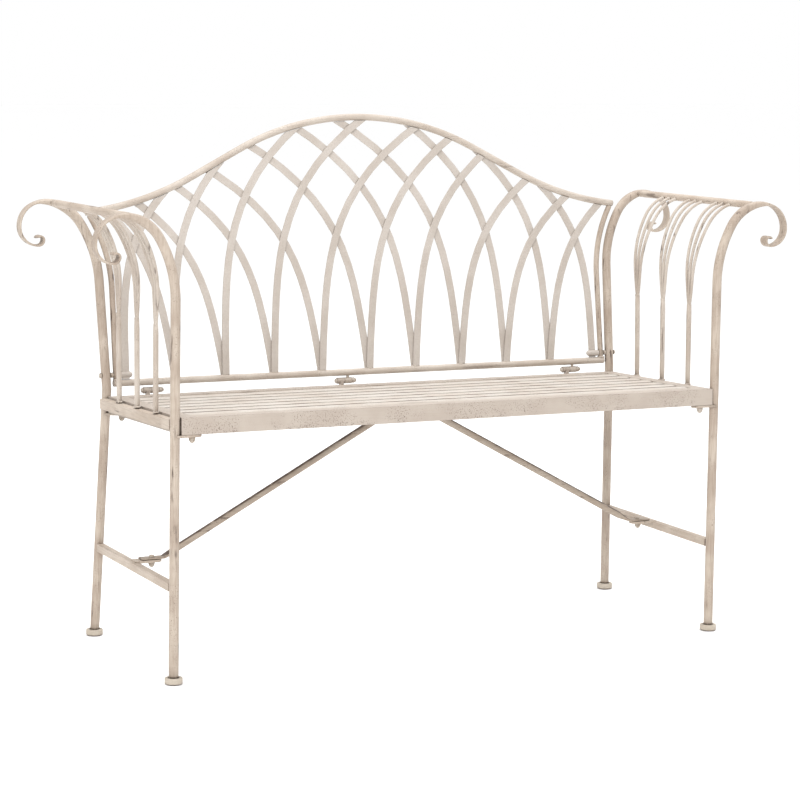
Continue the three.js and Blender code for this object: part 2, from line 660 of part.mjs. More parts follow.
/** The seat-plane height of the hanger's lower face. */
const HANGER_BOTTOM = -ANGLE_THICKNESS - GAP - STRAP_THICKNESS - HANGER.drop - HANGER.thickness;

/** The hanger under the middle strap, with a domed stud for each brace. */
function hanger() {
  const halfLength = HANGER.length / 2;
  const halfWidth = HANGER.width / 2;
  const top = HANGER_BOTTOM + HANGER.thickness;
  const plate = block([-halfLength, BRACE_Y - halfWidth, HANGER_BOTTOM], [halfLength, BRACE_Y + halfWidth, top]);
  const ribTop = top + HANGER.drop + STRAP_THICKNESS / 2;
  const ribs = [-1, 1].map((side) => {
    const y = BRACE_Y + side * (halfWidth - HANGER_RIB / 2);
    return block([-STRAP_WIDTH / 2, y - HANGER_RIB / 2, top - 1], [STRAP_WIDTH / 2, y + HANGER_RIB / 2, ribTop]);
  });
  return [plate, ...ribs, hangerStud(-1), hangerStud(1)];
}

/** How much the seat's slope lifts one edge of a brace's flat end above its middle. */
const FLAT_END_LIFT = (BRACE_FLAT.width / 2) * Math.tan(SEAT_SLOPE);

/** A stud that passes through a brace's flat end, with a domed nut under it. */
function hangerStud(side) {
  const grip = BRACE_FLAT.thickness + 2 * (GAP + FLAT_END_LIFT);
  const bolt = domedBolt(grip + HANGER.thickness);
  return bolt.translate(side * HANGER_STUD_INSET, BRACE_Y, HANGER_BOTTOM - grip);
}

function slatPanel() {
  const pieces = [...slatPositions().map(slat), ...STRAP_POSITIONS.map(strap), ...hanger()];
  return join(...pieces).applyMatrix4(seatPlane);
}

/** A right-hand bolt at a seat corner, domed nut down. */
function seatBolt(rear) {
  const top = -SEAT_WEB + ANGLE_THICKNESS + GAP;
  const nutFace = -SEAT_WEB - GAP - SEAT_PLATE.thickness - GAP;
  const bolt = domedBolt(top - nutFace).translate(POST_X - SEAT_BOLT_INSET, seatBoltY(rear), nutFace);
  return bolt.applyMatrix4(seatPlane);
}

// ---------------------------------------------------------------------------------------------------------------
// Braces
// ---------------------------------------------------------------------------------------------------------------

/** The right-hand brace: flat end, flattened-to-round stretch, tube, and the same again at the upper end. */
function brace() {
  const { width, thickness, lowLength, highLength } = BRACE_FLAT;
  const low = tabTop() + GAP + thickness / 2;
  const hangerFace = new THREE.Vector3(0, BRACE_Y, HANGER_BOTTOM).applyMatrix4(seatPlane);
  const high = hangerFace.z - GAP - FLAT_END_LIFT - thickness / 2;
  const lowBolt = POST_X - BRACE_BOLT_INSET;
  const flatEnd = (x, y, z, length) => [1, -1].map((end) => new THREE.Vector3(x + (end * length) / 2, y, z));
  const lowEnd = flatEnd(lowBolt, BRACE_Y, low, lowLength);
  const highEnd = flatEnd(HANGER_STUD_INSET, hangerFace.y, high, highLength);
  const path = [...lowEnd, ...highEnd];
  const slope = new THREE.Vector3().subVectors(path[2], path[1]).normalize();
  const level = new THREE.Vector3(-1, 0, 0);
  const bend = slope.clone().add(level).normalize();
  const across = new THREE.Vector3(0, 1, 0);
  const flat = (point, tangent) => ring(point, tangent, across, thickness / 2, width / 2, 1, POST_SIDES);
  const tube = (point) => ring(point, slope, across, BRACE_DIAMETER / 2, BRACE_DIAMETER / 2, 0, POST_SIDES);
  const lowTube = path[1].clone().addScaledVector(slope, BRACE_TWIST_LENGTH);
  const highTube = path[2].clone().addScaledVector(slope, -BRACE_TWIST_LENGTH);
  const rings = [flat(path[0], level), flat(path[1], bend), tube(lowTube), tube(highTube)];
  rings.push(flat(path[2], bend), flat(path[3], level));
  const hole = (x, y) =>
    bar(new THREE.Vector3(x, y, 0), new THREE.Vector3(x, y, SEAT_HEIGHT), HOLE_RADIUS + HOLE_CLEARANCE);
  return cut(loft(rings), hole(lowBolt, BRACE_Y), hole(HANGER_STUD_INSET, hangerFace.y));
}

/** The right-hand bolt through the brace's lower end and the stretcher's plate, domed nut down. */
function braceBolt() {
  const grip = BRACE_TAB.thickness + BRACE_FLAT.thickness + 3 * GAP;
  return domedBolt(grip).translate(POST_X - BRACE_BOLT_INSET, BRACE_Y, tabTop() - BRACE_TAB.thickness - GAP);
}

// ---------------------------------------------------------------------------------------------------------------
// Back: rails and lattice, drawn in the back's plane and then leaned
// ---------------------------------------------------------------------------------------------------------------

/** The x at which the top rail's square end stands. */
function topRailEnd() {
  const post = scrollStations(5).filter(({ bend }) => bend <= FLATTEN_FROM);
  const height = topRailHeight(POST_X);
  const near = post.reduce((a, b) => (Math.abs(a.w - height) < Math.abs(b.w - height) ? a : b));
  const half = (POST_RADIUS + BACK_RADIUS) / Math.cos(radians(near.bend));
  return POST_X + near.u - rearPinch(near.w) - half - TOP_RAIL_END_CLEARANCE;
}

/** The height of the top rail's axis at a distance from the middle: crown arc, straight slope, shoulder arc. */
function topRailHeight(x) {
  const distance = Math.abs(x);
  const slope = radians(CROWN_SLOPE);
  const crownEnd = CROWN_RADIUS * Math.sin(slope);
  const crown = (d) => BACK_CROWN - CROWN_RADIUS + Math.sqrt(CROWN_RADIUS ** 2 - d ** 2);
  if (distance <= crownEnd) return crown(distance);
  const line = (d) => crown(crownEnd) - Math.tan(slope) * (d - crownEnd);
  if (distance <= SHOULDER_START) return line(distance);
  const centreX = SHOULDER_START + SHOULDER_RADIUS * Math.sin(slope);
  const centreZ = line(SHOULDER_START) + SHOULDER_RADIUS * Math.cos(slope);
  return centreZ - Math.sqrt(SHOULDER_RADIUS ** 2 - (centreX - distance) ** 2);
}

/** Points along the top rail's axis, moved down by an offset at right angles to it. */
function topRailPoints(end, offset, steps) {
  return Array.from({ length: steps + 1 }, (_, k) => {
    const x = end * ((2 * k) / steps - 1);
    const slope = (topRailHeight(x + 0.5) - topRailHeight(x - 0.5)) / 1;
    const normal = new THREE.Vector2(-slope, 1).normalize();
    return new THREE.Vector2(x - normal.x * offset, topRailHeight(x) - normal.y * offset);
  });
}

const inBack = (geometry) => geometry.applyMatrix4(backPlane);
const backPoint = ({ x, y }) => new THREE.Vector3(x, 0, y);

function backTopRail() {
  return inBack(roundTube(topRailPoints(topRailEnd(), 0, 36).map(backPoint), BACK_RADIUS, 12));
}

/** Points along the right-hand side rail's axis, moved inwards by an offset. */
function sideRailPoints(offset, steps) {
  const points = [new THREE.Vector2(BACK_SIDE_X - offset, STRIP_BASE)];
  const turn = Math.asin((topRailHeight(POST_X) - BACK_SIDE_STRAIGHT + BACK_TUBE) / BACK_SIDE_BEND);
  for (let k = 0; k <= steps; k++) {
    const angle = (turn * k) / steps;
    const reach = BACK_SIDE_BEND + offset;
    const x = BACK_SIDE_X + BACK_SIDE_BEND - reach * Math.cos(angle);
    points.push(new THREE.Vector2(x, BACK_SIDE_STRAIGHT + reach * Math.sin(angle)));
  }
  return points;
}

/** A thick slab of the back's plane, inside an outline of points. */
function slab(points) {
  const depth = 8 * STRIP_THICKNESS;
  const geometry = new THREE.ExtrudeGeometry(new THREE.Shape(points), { depth, bevelEnabled: false });
  return geometry.translate(0, 0, -depth / 2).rotateX(Math.PI / 2);
}

/** The region under the top rail. */
function underTopRail() {
  const floor = -SEAT_HEIGHT;
  const edge = topRailPoints(topRailEnd(), BACK_RADIUS + GAP, 72);
  const first = edge[0];
  const last = edge[edge.length - 1];
  return slab([new THREE.Vector2(first.x, floor), new THREE.Vector2(last.x, floor), ...edge.reverse()]);
}

/** The region between the side rails and above the bottom rail, to above the crown. */
function betweenSideRails() {
  const right = sideRailPoints(BACK_SIDE_TUBE / 2 + GAP, 12);
  right.push(new THREE.Vector2(BACK_SIDE_X, BACK_CROWN + BACK_TUBE));
  const left = right.map(({ x, y }) => new THREE.Vector2(-x, y)).reverse();
  return slab([...right, ...left]);
}

/** The right-hand side rail, which flares out to the top rail's end. */
function backSideRail() {
  const tube = roundTube(sideRailPoints(0, 10).map(backPoint), BACK_SIDE_TUBE / 2, 10);
  return cut(inBack(keep(tube, underTopRail())), backBoltHole());
}

/** The upper half of a hinge, which is welded to the back's bottom rail, in place. */
function upperHinge(x) {
  const rail = new THREE.Vector3(0, 0, BACK_BOTTOM).applyMatrix4(backPlane);
  const inSeat = rail.applyMatrix4(seatPlane.clone().invert());
  const half = hingeHalf(x + GAP / 2, x + HINGE_LENGTH / 2, { y: inSeat.y, z: inSeat.z });
  return cut(half, hingeBore(x)).applyMatrix4(seatPlane);
}

function backBottomRail() {
  const end = BACK_SIDE_X + BACK_SIDE_TUBE / 2;
  const tube = bar(new THREE.Vector3(-end, 0, BACK_BOTTOM), new THREE.Vector3(end, 0, BACK_BOTTOM), BACK_RADIUS);
  return join(inBack(tube), ...HINGE_POSITIONS.map(upperHinge));
}

/** The distance from the middle at which a strip starts; the strips that start on their own side count as negative. */
const stripStart = (index) => (index - LATTICE_BAYS / 2) * LATTICE_BAY;

/** The height at which a strip meets the underside of the top rail. */
const stripLanding = (index, sweep) => topRailHeight(stripStart(index) + sweep) - BACK_RADIUS;

/** The axis of a strip that bends to the right: a straight lean, and a bend that grows as a power of the height. */
function stripPoint(index, sweep, height) {
  const share = Math.max(0, (height - BACK_BOTTOM) / (stripLanding(index, sweep) - BACK_BOTTOM));
  const tilt = STRIP_TILT + STRIP_TILT_STEP * (index - LATTICE_BAYS / 2);
  const bend = tilt * share + (1 - tilt) * share ** STRIP_BEND_POWER;
  return new THREE.Vector2(stripStart(index) + sweep * bend, height);
}

/** The x at which the back's bolt leaves a right-hand end strip's sleeve and enters the side rail. */
const SLEEVE_END = BACK_SIDE_X - BACK_SIDE_TUBE / 2 - GAP;

/** The threaded sleeve for the back's bolt, closed with a dome, which is welded across a right-hand end strip. */
function boltSleeve() {
  const dome = domeProfile(NUT_RADIUS);
  const bore = SLEEVE_LENGTH / 8;
  const profile = [...dome, [NUT_RADIUS, SLEEVE_LENGTH], [HOLE_RADIUS, SLEEVE_LENGTH], [HOLE_RADIUS, bore], [0, bore]];
  const sleeve = turned(profile).rotateY(Math.PI / 2);
  return inBack(sleeve.translate(SLEEVE_END - SLEEVE_LENGTH, 0, BACK_BOLT_HEIGHT));
}

/** An outermost strip with its sleeve on the right (+1) or the left (-1). */
function endStrip(strip, side) {
  const start = new THREE.Vector3(SLEEVE_END - SLEEVE_LENGTH, 0, BACK_BOLT_HEIGHT);
  const end = new THREE.Vector3(SLEEVE_END, 0, BACK_BOLT_HEIGHT);
  const core = inBack(bar(start, end, (HOLE_RADIUS + NUT_RADIUS) / 2));
  return join(cut(strip, onSide(core, side)), onSide(boltSleeve(), side));
}

/**
 * A lattice strip that bends to the right (+1), in front, or to the left (-1), behind. Its index counts from the side
 * that it bends away from.
 */
function latticeStrip(index, direction, region) {
  const steps = 14;
  const half = STRIP_WIDTH / 2;
  const bottom = STRIP_BASE - STRIP_WIDTH;
  const sweep = STRIP_SWEEPS[direction > 0 ? "right" : "left"][index] * LATTICE_BAY;
  const top = stripLanding(index, sweep) + 3 * STRIP_WIDTH;
  const right = [];
  const left = [];
  for (let k = 0; k <= steps; k++) {
    const height = THREE.MathUtils.lerp(bottom, top, (k / steps) ** 0.8);
    const point = stripPoint(index, sweep, height);
    const tangent = stripPoint(index, sweep, height + 1).sub(stripPoint(index, sweep, height - 1)).normalize();
    const across = new THREE.Vector2(tangent.y, -tangent.x).multiplyScalar(half);
    right.push(point.clone().add(across));
    left.push(point.clone().sub(across));
  }
  const outline = new THREE.Shape([...right, ...left.reverse()]);
  const plate = new THREE.ExtrudeGeometry(outline, { depth: STRIP_THICKNESS, bevelEnabled: false });
  plate.translate(0, 0, GAP / 2).rotateX(Math.PI / 2);
  const strip = direction > 0 ? plate : plate.rotateZ(Math.PI);
  return inBack(geometryOf(solid(strip).intersect(region)));
}

/** The right-hand bolt through the rear post, a spacer and the side rail into the end strip's sleeve. */
function backBolt() {
  const tip = SLEEVE_END - SLEEVE_LENGTH / 2;
  const spacerStart = BACK_SIDE_X + BACK_SIDE_TUBE / 2 + GAP;
  const postX = POST_X - rearPinch(BACK_BOLT_HEIGHT);
  const spacerEnd = postX - POST_RADIUS - GAP;
  const bolt = turned([
    [0, tip],
    [BOLT_RADIUS, tip],
    [BOLT_RADIUS, spacerStart],
    [NUT_RADIUS * 0.8, spacerStart],
    [NUT_RADIUS * 0.8, spacerEnd],
    [BOLT_RADIUS, spacerEnd],
    [BOLT_RADIUS, postX + POST_RADIUS + GAP],
    ...headProfile(postX + POST_RADIUS + GAP),
  ]);
  return inBack(bolt.rotateY(Math.PI / 2).translate(0, 0, BACK_BOLT_HEIGHT));
}

/** A hinge's pin: a shank through both halves, with a head on the left and a domed nut on the right. */
function hingePin(x) {
  const bolt = domedBolt(HINGE_LENGTH + 2 * GAP);
  const scale = PIN_DIAMETER / BOLT_DIAMETER;
  bolt.scale(scale, scale, 1).rotateY(-Math.PI / 2);
  return bolt.translate(x + HINGE_LENGTH / 2 + GAP, HINGE_Y, HINGE_Z).applyMatrix4(seatPlane);
}

// ---------------------------------------------------------------------------------------------------------------
// Assembly
// ---------------------------------------------------------------------------------------------------------------

const bench = new THREE.Group();

/** Adds one piece to the bench as a named mesh. */
function add(name, geometry, finish = CREAM) {
  const mesh = new THREE.Mesh(geometry, new THREE.MeshStandardMaterial(finish));
  mesh.name = name;
  bench.add(mesh);
  return mesh;
}

const SIDES = [
  { label: "left", side: -1 },
  { label: "right", side: 1 },
];
const ENDS = [
  { label: "front", rear: false },
  { label: "rear", rear: true },
];

for (const { label, side } of SIDES) {
  for (const { label: end, rear } of ENDS) {
    add(`${end}_post_${label}`, onSide(post(rear), side));
    add(`foot_cap_${end}_${label}`, onSide(footCap().translate(...footPlace(rear)), side), CREAM_DARK);
    add(`seat_bolt_${end}_${label}`, onSide(seatBolt(rear), side), CREAM_DARK);
  }
  add(`arm_rail_${label}`, onSide(armRail(), side));
  add(`side_bar_${label}`, onSide(sideBar(), side));
  add(`stretcher_${label}`, onSide(stretcher(), side));
  for (let i = 0; i < SPINDLES; i++) {
    add(`spindle_${label}_${i + 1}`, onSide(spindle(i), side));
  }
  add(`brace_${label}`, onSide(brace(), side));
  add(`brace_bolt_${label}`, onSide(braceBolt(), side), CREAM_DARK);
  add(`back_side_rail_${label}`, onSide(backSideRail(), side));
  add(`back_bolt_${label}`, onSide(backBolt(), side), CREAM_DARK);
}

add("seat_frame", seatFrame());
add("slat_panel", slatPanel());
add("back_top_rail", backTopRail());
add("back_bottom_rail", backBottomRail());

const latticeRegion = solid(underTopRail()).intersect(solid(betweenSideRails()));
for (let index = 0; index < LATTICE_BAYS; index++) {
  const rightBending = latticeStrip(index, 1, latticeRegion);
  const leftBending = latticeStrip(index, -1, latticeRegion);
  const first = index === 0;
  add(`lattice_strip_right_${index + 1}`, first ? endStrip(rightBending, -1) : rightBending);
  add(`lattice_strip_left_${LATTICE_BAYS - index}`, first ? endStrip(leftBending, 1) : leftBending);
}

HINGE_POSITIONS.forEach((x, i) => add(`hinge_pin_${i + 1}`, hingePin(x), CREAM_DARK));

// The origin is the middle of the bench's box, on the floor.
const extent = new THREE.Box3().setFromObject(bench);
bench.position.set(0, -(extent.min.y + extent.max.y) / 2, 0);

export default bench;
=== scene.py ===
"""Looks of a two-seat garden bench: steel tube and strip, sponged with antique cream paint over brown.

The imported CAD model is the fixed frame. Round and bent members are built again here as smooth
surfaces, the flat members keep their CAD shape with softened edges, and every visible surface gets a
worn paint finish.
"""

import logging
import math
from dataclasses import dataclass
from enum import Enum

import bpy
import numpy as np
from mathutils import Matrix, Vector


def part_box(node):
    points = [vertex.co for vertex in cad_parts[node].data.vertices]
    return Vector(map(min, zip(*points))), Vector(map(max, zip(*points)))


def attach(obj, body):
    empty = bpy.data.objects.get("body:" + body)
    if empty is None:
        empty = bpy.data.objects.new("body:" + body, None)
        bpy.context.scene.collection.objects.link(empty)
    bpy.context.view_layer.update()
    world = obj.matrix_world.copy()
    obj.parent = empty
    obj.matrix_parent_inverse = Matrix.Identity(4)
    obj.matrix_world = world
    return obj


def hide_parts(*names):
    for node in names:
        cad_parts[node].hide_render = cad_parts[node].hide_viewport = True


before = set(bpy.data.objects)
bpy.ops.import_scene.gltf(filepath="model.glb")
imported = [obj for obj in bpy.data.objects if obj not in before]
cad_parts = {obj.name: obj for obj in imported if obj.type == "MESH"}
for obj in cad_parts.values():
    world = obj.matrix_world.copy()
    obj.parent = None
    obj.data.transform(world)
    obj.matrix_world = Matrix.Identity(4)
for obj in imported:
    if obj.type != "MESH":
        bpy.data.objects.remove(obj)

LOG = logging.getLogger("garden_bench")
MM = 0.001  # metres in a millimetre
BODY = "root"
SQUARING = 0.65  # how much a full squareness takes off the power of an oval's sine and cosine
FIRST_INSET = 0.3  # the middle ring of a rounded end, as a share of the end's radius
LEAST_HALF = 0.2  # mm, the smallest half size of a ring that closes an end
POLE_GAP = 0.12  # radians from a bead's pole to its first ring
SHARP_TURN = math.radians(38.0)  # an edge that turns further than this is a sharp one


class Side(Enum):
    """The two ends of the bench, as seen from the front."""

    LEFT = -1
    RIGHT = 1

    @property
    def label(self) -> str:
        """The word that the CAD node names use for this end."""
        return self.name.lower()


class End(Enum):
    """The front and the back of the bench's sides."""

    FRONT = "front"
    REAR = "rear"


class Grain(Enum):
    """The direction in which the paint was brushed, as the scale of its pattern along X, Y and Z."""

    UPRIGHT = (1.0, 1.0, 0.07)
    LENGTHWISE = (0.05, 1.0, 1.0)
    CROSSWISE = (1.0, 0.07, 1.0)
    MIXED = (1.0, 1.0, 1.0)


# ------------------------------------------------------------------------------
# Surfaces and meshes
# ------------------------------------------------------------------------------


@dataclass
class Shell:
    """One closed surface: points in millimetres, and faces as tuples of point numbers."""

    points: np.ndarray
    faces: list


def unit(vectors: np.ndarray) -> np.ndarray:
    """Scales each vector to length 1.

    Args:
        vectors: an array whose last axis holds X, Y and Z.

    Returns:
        The array of unit vectors.
    """
    return vectors / np.linalg.norm(vectors, axis=-1, keepdims=True)


def grid_shell(rings: np.ndarray) -> Shell:
    """Closes a grid of rings into a shell: quads between neighbouring rings, and one flat face on each end.

    Args:
        rings: an array of shape (rings, points of a ring, 3), each ring running the same way round.

    Returns:
        The closed shell, whose faces point outwards where the rings run anticlockwise seen from the end.
    """
    count, sides, _ = rings.shape
    row = np.arange(count - 1)[:, None] * sides
    here = np.arange(sides)[None, :]
    after = (here + 1) % sides
    above = row + sides
    quads = np.stack([row + here, row + after, above + after, above + here], axis=-1).reshape(-1, 4)
    last = (count - 1) * sides
    faces = [tuple(face) for face in quads.tolist()]
    faces.append(tuple(range(sides - 1, -1, -1)))
    faces.append(tuple(range(last, last + sides)))
    return Shell(rings.reshape(-1, 3), faces)


def swept(
    path: np.ndarray,
    through: np.ndarray,
    across: np.ndarray,
    squareness: np.ndarray,
    reference: tuple = (0.0, 1.0, 0.0),
    sides: int = 24,
    end_round: float = 1.0,
) -> Shell:
    """A profile carried along a path.

    The profile at each station is an oval whose cosine and sine are raised to the power 1 - 0.65 q,
    where q is the squareness: 0 gives an ellipse, and 1 a rounded rectangle. Its sine axis lies along the
    reference direction, made square to the path. Each end closes over two smaller rings, which round its
    edge.

    Args:
        path: the stations along the middle, shape (stations, 3).
        through: the half size square to the reference direction, at each station.
        across: the half size along the reference direction, at each station.
        squareness: how square the profile is at each station, from 0 to 1.
        reference: the direction that the profile's width follows.
        sides: the points round the profile.
        end_round: the radius of the rounded edge at both ends.

    Returns:
        The closed shell.
    """
    tangent = unit(np.gradient(path, axis=0))
    axis = np.asarray(reference, float)[None, :]
    along = unit(axis - np.sum(axis * tangent, axis=1, keepdims=True) * tangent)
    normal = np.cross(along, tangent)
    second = path[:1] + tangent[:1] * end_round * FIRST_INSET
    last_but_one = path[-1:] - tangent[-1:] * end_round * FIRST_INSET
    centres = np.concatenate([path[:1], second, path[1:-1], last_but_one, path[-1:]])
    index = np.clip(np.arange(len(centres)) - 1, 0, len(path) - 1)
    index[-2:] = len(path) - 1
    shrink = np.zeros(len(centres))
    shrink[[0, -1]] = end_round
    shrink[[1, -2]] = end_round * FIRST_INSET
    angle = np.linspace(0.0, 2.0 * math.pi, sides, endpoint=False)[None, :]
    power = 1.0 - SQUARING * squareness[index][:, None]
    cosine = np.sign(np.cos(angle)) * np.abs(np.cos(angle)) ** power
    sine = np.sign(np.sin(angle)) * np.abs(np.sin(angle)) ** power
    half_through = np.maximum(through[index] - shrink, LEAST_HALF)[:, None]
    half_across = np.maximum(across[index] - shrink, LEAST_HALF)[:, None]
    rings = centres[:, None, :]
    rings = rings + normal[index][:, None, :] * (half_through * cosine)[..., None]
    rings = rings + along[index][:, None, :] * (half_across * sine)[..., None]
    return grid_shell(rings)


def tube(path: np.ndarray, radius: float, sides: int = 24, end_round: float = 1.0) -> Shell:
    """A round tube of one size along a path.

    Args:
        path: the stations along its middle.
        radius: its outer radius.
        sides: the points round it.
        end_round: the radius of the rounded edge at both ends.

    Returns:
        The closed shell.
    """
    size = np.full(len(path), radius)
    return swept(path, size, size, np.zeros(len(path)), sides=sides, end_round=end_round)


def straight(start: tuple, end: tuple, stations: int = 8) -> np.ndarray:
    """Evenly spaced stations on a straight line from start to end, as an array of shape (stations, 3)."""
    share = np.linspace(0.0, 1.0, stations)[:, None]
    return np.asarray(start, float)[None, :] * (1.0 - share) + np.asarray(end, float)[None, :] * share


def turned(profile: list, origin: tuple, sides: int = 28) -> Shell:
    """A body turned about an upright axis.

    Point (i, k) stands at radius r_i and height z_i of the profile, at k/sides of a full turn.

    Args:
        profile: pairs of radius and height, from the lowest to the highest, smoothed by the caller.
        origin: the point on the axis at height 0.
        sides: the points round it.

    Returns:
        The closed shell.
    """
    pairs = np.asarray(profile, float)
    angle = np.linspace(0.0, 2.0 * math.pi, sides, endpoint=False)
    rings = np.stack(
        [
            pairs[:, :1] * np.cos(angle)[None, :],
            pairs[:, :1] * np.sin(angle)[None, :],
            np.repeat(pairs[:, 1:], sides, axis=1),
        ],
        axis=-1,
    )
    return grid_shell(rings + np.asarray(origin, float)[None, None, :])


def bead(centre: tuple, radii: tuple, seed: int) -> Shell:
    """A blob of weld under paint: an ellipsoid whose radius wavers.

    The radius is multiplied by 1 + ripple sin(3a + seed) sin(p) + swell cos(2p + 2.3 seed), where a runs
    round the upright axis and p from the lower pole to the upper one.

    Args:
        centre: its middle.
        radii: its half sizes along X, Y and Z.
        seed: a number that shifts the waves, so that no two beads are alike.

    Returns:
        The closed shell.
    """
    ripple = 0.10
    swell = 0.08
    polar = np.linspace(POLE_GAP, math.pi - POLE_GAP, 9)[:, None]
    angle = np.linspace(0.0, 2.0 * math.pi, 12, endpoint=False)[None, :]
    waver = 1.0 + ripple * np.sin(3.0 * angle + seed) * np.sin(polar)
    waver = waver + swell * np.cos(2.0 * polar + 2.3 * seed)
    rings = np.stack(
        [
            radii[0] * waver * np.sin(polar) * np.cos(angle),
            radii[1] * waver * np.sin(polar) * np.sin(angle),
            -radii[2] * waver * np.cos(polar) * np.ones_like(angle),
        ],
        axis=-1,
    )
    return grid_shell(rings + np.asarray(centre, float)[None, None, :])


def mirrored(shell: Shell) -> Shell:
    """The same shell on the bench's other end, with its faces turned round to point outwards again."""
    points = shell.points * np.array([-1.0, 1.0, 1.0])
    return Shell(points, [face[::-1] for face in shell.faces])


def on_side(shells: list, side: Side) -> list:
    """Right-hand shells as they are, or mirrored for the left."""
    return shells if side is Side.RIGHT else [mirrored(shell) for shell in shells]


def make_piece(
    name: str, shells: list, material: bpy.types.Material, replaced: tuple = ()
) -> None:
    """Makes one object of the bench from shells, and hides the CAD nodes that it stands for.

    Args:
        name: the piece's name.
        shells: the closed surfaces that it is made of.
        material: its finish.
        replaced: the CAD nodes that it stands for.
    """
    offsets = np.cumsum([0] + [len(shell.points) for shell in shells[:-1]])
    points = np.concatenate([shell.points for shell in shells]) * MM
    starts = offsets.tolist()
    faces = [tuple(i + start for i in face) for shell, start in zip(shells, starts) for face in shell.faces]
    mesh = bpy.data.meshes.new(name)
    mesh.from_pydata(points.tolist(), [], faces)
    mesh.polygons.foreach_set("use_smooth", [len(face) <= 4 for face in faces])
    mesh.materials.append(material)
    mesh.update()
    piece = bpy.data.objects.new(name, mesh)
    bpy.context.scene.collection.objects.link(piece)
    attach(piece, BODY)
    if replaced:
        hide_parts(*replaced)
    LOG.info("built %s: %d points", name, len(points))


# ------------------------------------------------------------------------------
# Finishes
# ------------------------------------------------------------------------------


def linear(colour: str) -> tuple:
    """Turns an sRGB colour into the linear colour that the shaders use.

    Args:
        colour: six hexadecimal digits.

    Returns:
        Red, green, blue and an alpha of 1.
    """
    parts = [int(colour[i : i + 2], 16) / 255.0 for i in (0, 2, 4)]
    return tuple(c / 12.92 if c <= 0.04045 else ((c + 0.055) / 1.055) ** 2.4 for c in parts) + (1.0,)


def add_node(tree: bpy.types.NodeTree, kind: str, inputs: dict, **settings: object) -> bpy.types.Node:
    """Adds a node, sets it up and links it.

    Args:
        tree: the node tree.
        kind: the node's type name.
        inputs: for an input's name or number, either a value or the output socket that feeds it.
        **settings: properties of the node itself.

    Returns:
        The node.
    """
    node = tree.nodes.new(kind)
    for key, value in settings.items():
        setattr(node, key, value)
    for key, value in inputs.items():
        if isinstance(value, bpy.types.NodeSocket):
            tree.links.new(value, node.inputs[key])
        else:
            node.inputs[key].default_value = value
    return node


